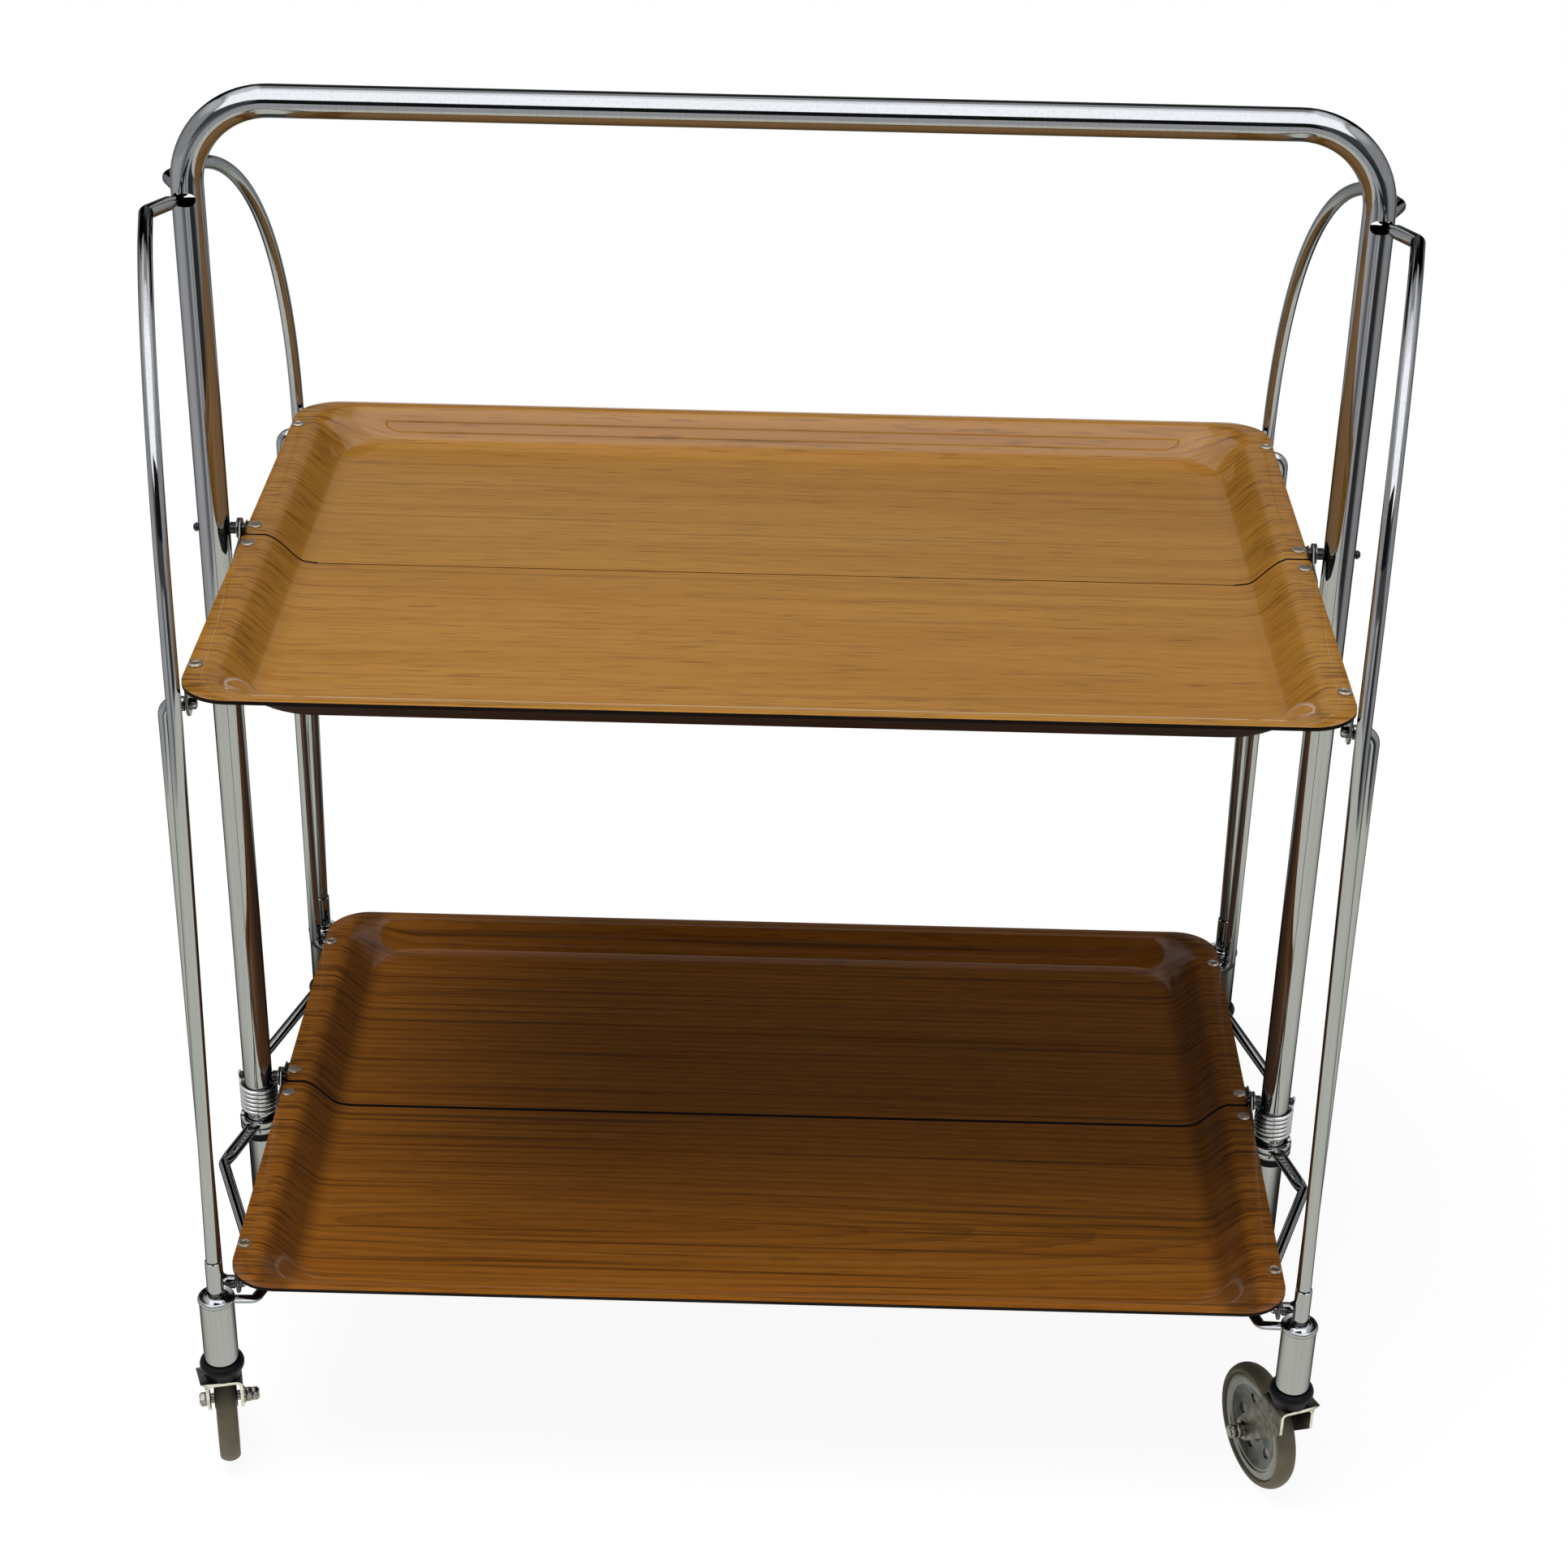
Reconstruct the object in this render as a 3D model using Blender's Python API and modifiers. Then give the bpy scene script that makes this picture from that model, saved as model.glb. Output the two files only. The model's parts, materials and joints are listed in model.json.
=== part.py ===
"""Folding serving trolley: two wooden trays, each hinged along its middle, in a chromed tube frame.

Metres, +Z up. The origin is on the floor under the middle of the frame, and the front faces -Y.
Each mirrored piece is modelled once, for the front right corner, and placed with a negative scale.
"""

import math

import bmesh
import bpy
from mathutils import Matrix, Vector

# Driving dimensions of the trays, pressed from thin plywood
TRAY_LENGTH = 0.609
TRAY_DEPTH = 0.416
TRAY_CORNER = 0.027
PAN_DEPTH = 0.0172
PLY = 0.0022
SPLIT = 0.0008
UPPER_RIM = 0.525
LOWER_RIM = 0.148

# The bent tube that is both the handle and the two upright legs
HOOP_HALF_WIDTH = 0.321
HOOP_TOP = 0.777
HOOP_FOOT = 0.045
HOOP_RADIUS = 0.009
HOOP_WALL = 0.0012
HOOP_BEND = 0.047
SLOT_HEIGHT = 0.724
SLOT_HALF_WIDTH = 0.0065
SLOT_HALF_HEIGHT = 0.0038
SLOT_ANGLE = math.radians(8)

# The fold: every tray half turns about pins that pass through the uprights just above the rim
PIN_RISE = 0.0038
PIN_RADIUS = 0.002
PIN_HOLE = 0.0023
STRUT_X = 0.314
STRUT_Y = 0.185
STRUT_DROP = 0.014
STRUT_RADIUS = 0.004
SPIGOT_RADIUS = 0.003

# The four leg rods, the tubes that hold the casters, and the arms that tie them to the uprights
ROD_RADIUS = 0.004
ROD_TIP_RADIUS = 0.0025
LEG_X = 0.311
LEG_Y = 0.203
CASTER_TUBE_TOP = 0.139
CASTER_TUBE_FOOT = 0.093
CASTER_TUBE_RADIUS = 0.010
ARM_RADIUS = 0.0034
ARM_JOIN_HEIGHT = 0.1345
FRONT_EYE_HEIGHT = 0.121
BACK_EYE_HEIGHT = 0.1165
EYE_THICKNESS = 0.004

# The return springs round the uprights
SPRING_WIRE = 0.0013
SPRING_RADIUS = 0.0111
SPRING_TOP = 0.1462
SPRING_CLOSE_TURNS = 5.25
SPRING_CLOSE_FOOT = 0.1300
SPRING_FOOT = 0.1248

# The casters
WHEEL_RADIUS = 0.038
WHEEL_WIDTH = 0.012
HUB_RADIUS = 0.0325
HUB_WIDTH = 0.0104
AXLE_RADIUS = 0.003
CASTER_TRAIL = 0.0305
FORK_TOP = 0.0812
FORK_GAP = 0.0178
STEEL = 0.0018
CASTER_HEADINGS = {"front_left": 103.0, "front_right": 111.0, "back_left": -82.0, "back_right": -96.0}

CLEARANCE = 0.0003
SHEET = 0.0012
MERGE = 1e-6

CORNERS = {"front_left": (-1, 1), "front_right": (1, 1), "back_left": (-1, -1), "back_right": (1, -1)}
SIDES = {"left": -1, "right": 1}
LEVELS = {"upper": UPPER_RIM, "lower": LOWER_RIM}


# Scene and small helpers

for leftover in list(bpy.data.objects):
    bpy.data.objects.remove(leftover)
trolley = bpy.data.collections.new("folding_serving_trolley")
bpy.context.scene.collection.children.link(trolley)


def material(name, colour, roughness, metallic):
    """A Principled material in one colour."""
    made = bpy.data.materials.new(name)
    made.use_nodes = True
    shader = made.node_tree.nodes["Principled BSDF"]
    shader.inputs["Base Color"].default_value = (*colour, 1.0)
    shader.inputs["Roughness"].default_value = roughness
    shader.inputs["Metallic"].default_value = metallic
    return made


CHROME = material("chromed steel", (0.72, 0.72, 0.73), 0.12, 1.0)
WOOD = material("teak veneer under lacquer", (0.36, 0.19, 0.07), 0.25, 0.0)
BLACK_STEEL = material("blackened steel", (0.02, 0.02, 0.02), 0.45, 0.6)
SPRING_STEEL = material("spring steel", (0.45, 0.45, 0.45), 0.3, 1.0)
BLACK_PLASTIC = material("black plastic", (0.02, 0.02, 0.02), 0.4, 0.0)
ZINC = material("zinc plated steel", (0.5, 0.5, 0.48), 0.35, 1.0)
GREY_PLASTIC = material("grey moulded plastic", (0.32, 0.33, 0.34), 0.45, 0.0)
GREY_RUBBER = material("grey rubber", (0.24, 0.23, 0.21), 0.8, 0.0)


def working(mesh):
    """A working object that carries a mesh while modifiers shape it."""
    obj = bpy.data.objects.new("working", mesh)
    bpy.context.scene.collection.objects.link(obj)
    return obj


def finished(obj):
    """The evaluated mesh of a working object, welded; the object is removed."""
    bpy.context.view_layer.update()
    graph = bpy.context.evaluated_depsgraph_get()
    mesh = bpy.data.meshes.new_from_object(obj.evaluated_get(graph))
    mesh.transform(obj.matrix_world)
    bpy.data.objects.remove(obj)
    shape = bmesh.new()
    shape.from_mesh(mesh)
    bmesh.ops.remove_doubles(shape, verts=shape.verts, dist=MERGE)
    shape.to_mesh(mesh)
    shape.free()
    return mesh


def mesh_of(shape):
    """A mesh made from a bmesh, which is freed."""
    mesh = bpy.data.meshes.new("shape")
    bmesh.ops.recalc_face_normals(shape, faces=shape.faces)
    shape.to_mesh(mesh)
    shape.free()
    return mesh


def combined(base, operation, *others):
    """The mesh left when the others are cut from the base, or joined to it."""
    obj = working(base)
    helpers = [working(other) for other in others]
    for helper in helpers:
        helper.display_type = "WIRE"
        helper.hide_render = True
        boolean = obj.modifiers.new(operation.lower(), "BOOLEAN")
        boolean.operation = operation
        boolean.object = helper
    mesh = finished(obj)
    for helper in helpers:
        bpy.data.objects.remove(helper)
    return mesh


def moved(mesh, *steps):
    """A copy of a mesh, transformed by each matrix in turn."""
    copy = mesh.copy()
    for step in steps:
        copy.transform(step)
    return copy


def turned(profile, steps=16, ring=False):
    """A solid turned about Z from (radius, height) pairs that run down its outer side."""
    count = len(profile)
    edges = [(i, i + 1) for i in range(count - 1)]
    if ring:
        edges.append((count - 1, 0))
    mesh = bpy.data.meshes.new("profile")
    mesh.from_pydata([(radius, 0.0, height) for radius, height in profile], edges, [])
    obj = working(mesh)
    screw = obj.modifiers.new("turn", "SCREW")
    screw.steps = screw.render_steps = steps
    screw.use_merge_vertices = True
    screw.merge_threshold = MERGE
    return finished(obj)


def rod(points, radii, resolution=2, caps=True):
    """A round bar through the points, with one radius for each point."""
    thickest = max(radii)
    curve = bpy.data.curves.new("rod", "CURVE")
    curve.dimensions = "3D"
    curve.bevel_depth = thickest
    curve.bevel_resolution = resolution
    curve.use_fill_caps = caps
    spline = curve.splines.new("POLY")
    spline.points.add(len(points) - 1)
    for spot, point, radius in zip(spline.points, points, radii):
        spot.co = (*point, 1.0)
        spot.radius = radius / thickest
    return finished(working(curve))


def bent(points, radius, steps):
    """The corner points of a bent bar with every inner corner rounded to an arc."""
    corners = [Vector(point) for point in points]
    path = [corners[0]]
    for before, corner, after in zip(corners, corners[1:], corners[2:]):
        inward = (before - corner).normalized()
        outward = (after - corner).normalized()
        half = inward.angle(outward) / 2
        reach = radius / math.tan(half)
        centre = corner + (inward + outward).normalized() * radius / math.sin(half)
        start = corner + inward * reach - centre
        end = corner + outward * reach - centre
        sweep = start.angle(end)
        for step in range(steps + 1):
            share = step / steps
            weight = math.sin((1 - share) * sweep), math.sin(share * sweep)
            path.append(centre + (start * weight[0] + end * weight[1]) / math.sin(sweep))
    path.append(corners[-1])
    return path


def plate(outline, thickness, axis):
    """A flat sheet from a closed outline; the axis is the one it is thin along, from 0 to the thickness."""
    shape = bmesh.new()
    if axis == "X":
        spots = [(0.0, a, b) for a, b in outline]
        push = (thickness, 0.0, 0.0)
    else:
        spots = [(a, b, 0.0) for a, b in outline]
        push = (0.0, 0.0, thickness)
    face = shape.faces.new([shape.verts.new(spot) for spot in spots])
    made = bmesh.ops.extrude_face_region(shape, geom=[face])
    new = [item for item in made["geom"] if isinstance(item, bmesh.types.BMVert)]
    bmesh.ops.translate(shape, verts=new, vec=push)
    return mesh_of(shape)


def cylinder(radius, start, end, sides):
    """A closed round bar between two points."""
    start, end = Vector(start), Vector(end)
    shape = bmesh.new()
    bmesh.ops.create_cone(
        shape, cap_ends=True, segments=sides, radius1=radius, radius2=radius, depth=(end - start).length
    )
    turn = Vector((0, 0, 1)).rotation_difference(end - start).to_matrix().to_4x4()
    shape.transform(Matrix.Translation((start + end) / 2) @ turn)
    return mesh_of(shape)


def arc(centre, radius, first, last, steps):
    """Points on an arc, from one angle to another in degrees."""
    angles = [math.radians(first + (last - first) * step / steps) for step in range(steps + 1)]
    return [(centre[0] + radius * math.cos(a), centre[1] + radius * math.sin(a)) for a in angles]


def place(name, mesh, finish, location=(0, 0, 0), scale=(1, 1, 1), parent=None):
    """One named part of the trolley."""
    if not mesh.materials:
        mesh.name = name
        mesh.materials.append(finish)
        mesh.shade_smooth()
        mesh.set_sharp_from_angle(angle=math.radians(35))
    obj = bpy.data.objects.new(name, mesh)
    obj.location = location
    obj.scale = scale
    obj.parent = parent
    trolley.objects.link(obj)
    return obj


def pivot(name, location, heading):
    """An empty on a joint's axis, turned about Z by the heading in degrees."""
    empty = bpy.data.objects.new(name, None)
    empty.location = location
    empty.rotation_euler.z = math.radians(heading)
    empty.empty_display_size = 0.02
    trolley.objects.link(empty)
    return empty


# Handle frame: one tube bent to an upside-down U, slotted near the top for the leg rods


def handle_frame():
    corners = [
        (-HOOP_HALF_WIDTH, 0, HOOP_FOOT),
        (-HOOP_HALF_WIDTH, 0, HOOP_TOP),
        (HOOP_HALF_WIDTH, 0, HOOP_TOP),
        (HOOP_HALF_WIDTH, 0, HOOP_FOOT),
    ]
    path = bent(corners, HOOP_BEND, 5)
    tube = working(rod(path, [HOOP_RADIUS] * len(path), resolution=4, caps=False))
    wall = tube.modifiers.new("wall", "SOLIDIFY")
    wall.thickness = HOOP_WALL
    wall.offset = -1
    mesh = finished(tube)
    cutters = []
    for side in SIDES.values():
        for face in (-1, 1):
            cutters.append(slot_cutter(side, face))
        for level in LEVELS.values():
            start = (side * (HOOP_HALF_WIDTH - 0.02), 0, level + PIN_RISE)
            end = (side * (HOOP_HALF_WIDTH + 0.02), 0, level + PIN_RISE)
            cutters.append(cylinder(PIN_HOLE, start, end, 8))
    return combined(mesh, "DIFFERENCE", *cutters)


def slot_cutter(side, face):
    """The round-ended slot that a leg rod enters, milled square to the tube's wall."""
    straight = SLOT_HALF_WIDTH - SLOT_HALF_HEIGHT
    outline = arc((straight, 0), SLOT_HALF_HEIGHT, -90, 90, 4)
    outline += arc((-straight, 0), SLOT_HALF_HEIGHT, 90, 270, 4)
    block = plate(outline, 0.016, "Z")
    upright = Matrix.Rotation(math.radians(90), 4, "X")
    aim = Matrix.Rotation(side * SLOT_ANGLE, 4, "Z")
    mirror = Matrix.Diagonal((1, -face, 1, 1))
    place_there = Matrix.Translation((side * HOOP_HALF_WIDTH, 0, SLOT_HEIGHT))
    block.transform(place_there @ mirror @ aim @ upright)
    return block_facing_out(block)


def block_facing_out(mesh):
    """The mesh with its faces pointing out again after a mirroring step."""
    shape = bmesh.new()
    shape.from_mesh(mesh)
    return mesh_of(shape)


place("handle_frame", handle_frame(), CHROME)

plug_profile = [
    (0.0, HOOP_FOOT + 0.014),
    (HOOP_RADIUS - HOOP_WALL - CLEARANCE - 0.0012, HOOP_FOOT + 0.014),
    (HOOP_RADIUS - HOOP_WALL - CLEARANCE - 0.0002, HOOP_FOOT + 0.011),
    (HOOP_RADIUS - HOOP_WALL - CLEARANCE - 0.0002, HOOP_FOOT - CLEARANCE),
    (HOOP_RADIUS, HOOP_FOOT - CLEARANCE),
    (HOOP_RADIUS - 0.0008, HOOP_FOOT - 0.0022),
    (HOOP_RADIUS - 0.0030, HOOP_FOOT - 0.0034),
    (0.0, HOOP_FOOT - 0.0038),
]
plug = turned(plug_profile, 14)
for side_name, side in SIDES.items():
    place(f"tube_plug_{side_name}", plug, BLACK_PLASTIC, (side * HOOP_HALF_WIDTH, 0, 0))


# Hinge pins: peened outside the upright, shouldered to keep the leaves off the tube

TRAY_END = TRAY_LENGTH / 2
INNER_LEAF = TRAY_END + 0.0005
OUTER_LEAF = INNER_LEAF + SHEET + 0.0004
LEAF_OUTSIDE = OUTER_LEAF + SHEET
UPRIGHT_INSIDE = HOOP_HALF_WIDTH - HOOP_RADIUS
UPRIGHT_OUTSIDE = HOOP_HALF_WIDTH + HOOP_RADIUS


def hinge_pin():
    """Turned about Z here, from its peened end at the top down to its head over the tray's rim."""
    profile = [
        (0.0, UPRIGHT_OUTSIDE + 0.0030),
        (0.0020, UPRIGHT_OUTSIDE + 0.0025),
        (0.0026, UPRIGHT_OUTSIDE + 0.0005),
        (PIN_RADIUS, UPRIGHT_OUTSIDE + 0.0004),
        (PIN_RADIUS, UPRIGHT_INSIDE - CLEARANCE),
        (0.0034, UPRIGHT_INSIDE - CLEARANCE - 0.0001),
        (0.0034, LEAF_OUTSIDE + CLEARANCE),
        (PIN_RADIUS, LEAF_OUTSIDE + CLEARANCE - 0.0001),
        (PIN_RADIUS, INNER_LEAF - CLEARANCE),
        (0.0031, INNER_LEAF - CLEARANCE - 0.0001),
        (0.0024, INNER_LEAF - 0.0024),
        (0.0, INNER_LEAF - 0.0028),
    ]
    mesh = turned(profile, 8)
    mesh.transform(Matrix.Rotation(math.radians(90), 4, "Y"))
    return mesh


pin = hinge_pin()
for level_name, level in LEVELS.items():
    for side_name, side in SIDES.items():
        place(f"hinge_pin_{level_name}_{side_name}", pin, BLACK_STEEL, (0, 0, level + PIN_RISE), (side, 1, 1))


# Trays: one pressed shell, cut along the middle. Heights run from the pin's axis

RIVET_HOLE = 0.0021
HINGE_RIVET = (0.3000, -0.0125)
CORNER_RIVET = (0.3002, -0.1675)

# Each line of the pressing: half length, half depth, corner radius, drop below the rim
PRESSING = [
    (TRAY_LENGTH / 2, TRAY_DEPTH / 2, TRAY_CORNER, 0.0),
    (0.2915, 0.2005, 0.0290, 0.0),
    (0.2870, 0.1975, 0.0310, 0.0022),
    (0.2820, 0.1938, 0.0330, 0.0064),
    (0.2755, 0.1893, 0.0350, 0.0130),
    (0.2710, 0.1858, 0.0350, 0.0160),
    (0.2630, 0.1795, 0.0330, PAN_DEPTH),
]


def rounded_rectangle(half_length, half_depth, radius, height):
    spots = []
    for quarter, (x, y) in enumerate(((1, 1), (-1, 1), (-1, -1), (1, -1))):
        centre = (x * (half_length - radius), y * (half_depth - radius))
        spots += arc(centre, radius, 90 * quarter, 90 * quarter + 90, 5)
    return [(x, y, height) for x, y in spots]


def tray_half():
    """The front half: the full pressing is lofted, cut at the middle and given its thickness."""
    shape = bmesh.new()
    loops = []
    for half_length, half_depth, radius, drop in PRESSING:
        ring = rounded_rectangle(half_length, half_depth, radius, -PIN_RISE - drop)
        verts = [shape.verts.new(spot) for spot in ring]
        loops.append([shape.edges.new((a, b)) for a, b in zip(verts, verts[1:] + verts[:1])])
    for outer, inner in zip(loops, loops[1:]):
        bmesh.ops.bridge_loops(shape, edges=outer + inner)
    bmesh.ops.contextual_create(shape, geom=loops[-1])
    everything = shape.verts[:] + shape.edges[:] + shape.faces[:]
    bmesh.ops.bisect_plane(
        shape, geom=everything, plane_co=(0, -SPLIT / 2, 0), plane_no=(0, 1, 0), clear_outer=True
    )
    bmesh.ops.recalc_face_normals(shape, faces=shape.faces)
    if max(shape.faces, key=lambda face: face.calc_area()).normal.z < 0:
        bmesh.ops.reverse_faces(shape, faces=shape.faces)
    mesh = bpy.data.meshes.new("pressing")
    shape.to_mesh(mesh)
    shape.free()
    obj = working(mesh)
    ply = obj.modifiers.new("ply", "SOLIDIFY")
    ply.thickness = PLY
    ply.offset = -1
    ply.use_even_offset = True
    shell = finished(obj)
    drills = []
    for x, y in (HINGE_RIVET, CORNER_RIVET):
        for side in SIDES.values():
            drills.append(cylinder(RIVET_HOLE, (side * x, y, -0.02), (side * x, y, 0.02), 8))
    return combined(shell, "DIFFERENCE", *drills)


half = tray_half()
for level_name, level in LEVELS.items():
    for face_name, face in (("front", 1), ("back", -1)):
        place(f"{level_name}_tray_{face_name}", half, WOOD, (0, 0, level + PIN_RISE), (1, face, 1))


# Hinge leaves: an ear on the pin, a flange beside the tray's end and a tab riveted under the rim

RIM_TOP = -PIN_RISE
TAB_TOP = RIM_TOP - PLY - CLEARANCE
TAB_INSIDE = 0.2945
EAR_RADIUS = 0.006


def rivet(spot, head, bore):
    """A rivet through the tray: shank, and a low head that stands on the rim. The bore dishes the head."""
    seat = RIM_TOP + CLEARANCE
    middle = seat + (0.0005 if bore else 0.0014)
    profile = [
        (0.0, middle),
        (bore or head * 0.5, middle),
        (head * 0.72, seat + 0.0011),
        (head, seat),
        (0.0018, seat),
        (0.0018, TAB_TOP - SHEET * 0.5),
        (0.0, TAB_TOP - SHEET * 0.5),
    ]
    mesh = turned(profile, 8)
    mesh.transform(Matrix.Translation((*spot, 0)))
    return mesh


def hinge_leaf(inside):
    """The leaf whose flange has its inner face at this X."""
    flange_outline = [
        (-0.0255, TAB_TOP + 0.0004),
        (-0.0255, TAB_TOP - SHEET - 0.0012),
        (-0.0150, TAB_TOP - 0.0105),
        (-0.0060, TAB_TOP - 0.0118),
        (-0.0030, TAB_TOP - 0.0090),
    ]
    flange_outline += arc((0, 0), EAR_RADIUS, -98, 128, 7)
    flange_outline += [(-0.0120, TAB_TOP + 0.0022)]
    flange = plate(flange_outline, SHEET, "X")
    flange.transform(Matrix.Translation((inside, 0, 0)))
    tab_outline = [
        (inside + SHEET * 0.5, -0.0246),
        (inside + SHEET * 0.5, -0.0040),
        (TAB_INSIDE + 0.0020, -0.0040),
        (TAB_INSIDE, -0.0060),
        (TAB_INSIDE, -0.0200),
        (TAB_INSIDE + 0.0040, -0.0246),
    ]
    tab = plate(tab_outline, SHEET, "Z")
    tab.transform(Matrix.Translation((0, 0, TAB_TOP - SHEET)))
    leaf = combined(flange, "UNION", tab, rivet(HINGE_RIVET, 0.0034, 0.0))
    hole = cylinder(PIN_HOLE, (inside - 0.01, 0, 0), (inside + 0.01, 0, 0), 8)
    return combined(leaf, "DIFFERENCE", hole)


leaves = {"front": hinge_leaf(INNER_LEAF), "back": hinge_leaf(OUTER_LEAF)}
for level_name, level in LEVELS.items():
    for corner, (side, face) in CORNERS.items():
        leaf = leaves[corner.split("_")[0]]
        place(f"hinge_leaf_{level_name}_{corner}", leaf, BLACK_STEEL, (0, 0, level + PIN_RISE), (side, face, 1))


# Corner brackets: riveted under the rim, each with an ear that a strut hooks into

EAR_INSIDE = 0.3003
STRUT_AXIS = RIM_TOP - STRUT_DROP


def corner_bracket():
    ear_outline = [(-STRUT_Y - 0.0070, TAB_TOP)]
    ear_outline += arc((-STRUT_Y, STRUT_AXIS), 0.0065, 180, 360, 6)
    ear_outline += [(-STRUT_Y + 0.0090, TAB_TOP)]
    ear = plate(ear_outline, SHEET * 1.25, "X")
    ear.transform(Matrix.Translation((EAR_INSIDE, 0, 0)))
    tab_outline = [
        (EAR_INSIDE + SHEET, -0.1920),
        (EAR_INSIDE + 0.0030, -0.1860),
        (EAR_INSIDE + 0.0030, -0.1625),
        (EAR_INSIDE + 0.0010, -0.1600),
        (TAB_INSIDE + 0.0020, -0.1600),
        (TAB_INSIDE, -0.1630),
        (TAB_INSIDE, -0.1920),
    ]
    tab = plate(tab_outline, SHEET, "Z")
    tab.transform(Matrix.Translation((0, 0, TAB_TOP - SHEET)))
    bracket = combined(ear, "UNION", tab, rivet(CORNER_RIVET, 0.0040, 0.0016))
    axis = (-STRUT_Y, STRUT_AXIS)
    hole = cylinder(SPIGOT_RADIUS + 0.0005, (EAR_INSIDE - 0.01, *axis), (EAR_INSIDE + 0.01, *axis), 8)
    return combined(bracket, "DIFFERENCE", hole)


bracket = corner_bracket()
for level_name, level in LEVELS.items():
    for corner, (side, face) in CORNERS.items():
        spot = (0, 0, level + PIN_RISE)
        place(f"corner_bracket_{level_name}_{corner}", bracket, BLACK_STEEL, spot, (side, face, 1))


# Struts: each keeps the upper and lower tray halves at one corner parallel. Origin at the upper hook


def strut():
    drop = UPPER_RIM - LOWER_RIM
    tip = EAR_INSIDE - 0.0032
    shoulder = EAR_INSIDE + 0.0026
    hook = [(tip, 0, 0), (shoulder, 0, 0), (shoulder + 0.0004, 0, 0)]
    upper = bent([(shoulder + 0.0006, 0, 0), (STRUT_X, 0, 0), (STRUT_X, 0, -drop / 2)], 0.0065, 3)
    lower = bent([(STRUT_X, 0, -drop / 2), (STRUT_X, 0, -drop), (shoulder + 0.0006, 0, -drop)], 0.0065, 3)
    path = hook + upper[1:-1] + lower[1:-1] + [(x, y, z - drop) for x, y, z in reversed(hook)]
    radii = [SPIGOT_RADIUS] * 2 + [STRUT_RADIUS] * (len(path) - 4) + [SPIGOT_RADIUS] * 2
    return rod(path, radii)


strut_bar = strut()
for corner, (side, face) in CORNERS.items():
    spot = (0, -face * STRUT_Y, UPPER_RIM + PIN_RISE + STRUT_AXIS)
    place(f"strut_{corner}", strut_bar, CHROME, spot, (side, face, 1))


# Leg rods: from the slot, out and over the tray's corner in a quarter of an ellipse, then down

ROD_BEND = (0.3375, -0.0310, SLOT_HEIGHT)
ROD_SHOULDER = (0.3058, -0.1999, 0.506)
ROD_FULLNESS = 2.27
FERRULE_RADIUS = 0.0048
FERRULE_TOP = 0.1628


def leg_rod():
    tip = Vector((HOOP_HALF_WIDTH + 0.0025, -0.0043, SLOT_HEIGHT))
    bend = Vector(ROD_BEND)
    shoulder = Vector(ROD_SHOULDER)
    power = 2 / ROD_FULLNESS
    sweep = []
    for step in range(1, 10):
        angle = math.radians(90) * step / 9
        out = math.sin(angle) ** power
        up = math.cos(angle) ** power if step < 9 else 0.0
        sweep.append(
            (
                bend.x + (shoulder.x - bend.x) * out,
                bend.y + (shoulder.y - bend.y) * out,
                shoulder.z + (bend.z - shoulder.z) * up,
            )
        )
    elbow = bent([tip, bend, sweep[1]], 0.0065, 3)
    neck = tip.lerp(bend, 0.32)
    path = [tip, neck] + elbow[1:-1] + sweep[1:]
    path += [(LEG_X, -LEG_Y, FERRULE_TOP + 0.0004), (LEG_X, -LEG_Y, FERRULE_TOP)]
    path += [(LEG_X, -LEG_Y, CASTER_TUBE_TOP + CLEARANCE)]
    radii = [ROD_TIP_RADIUS, ROD_TIP_RADIUS + 0.0004] + [ROD_RADIUS] * (len(path) - 4)
    radii += [FERRULE_RADIUS] * 2
    return rod(path, radii)


leg = leg_rod()
for corner, (side, face) in CORNERS.items():
    place(f"leg_rod_{corner}", leg, CHROME, (0, 0, 0), (side, face, 1))


# Caster tubes, each welded to the hooked end of its lower arm, whose flattened end has an eye


def caster_tube():
    r = CASTER_TUBE_RADIUS
    top = CASTER_TUBE_TOP
    profile = [
        (0.0, top),
        (0.0056, top),
        (0.0068, top - 0.0018),
        (0.0082, top - 0.0018),
        (0.0094, top - 0.0006),
        (0.0107, top - 0.0022),
        (0.0107, top - 0.0038),
        (r, top - 0.0044),
        (r, CASTER_TUBE_FOOT),
        (r - 0.0014, CASTER_TUBE_FOOT),
        (r - 0.0014, top - 0.0080),
        (0.0, top - 0.0080),
    ]
    mesh = turned(profile, 12)
    mesh.transform(Matrix.Translation((LEG_X, -LEG_Y, 0)))
    return mesh


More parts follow.
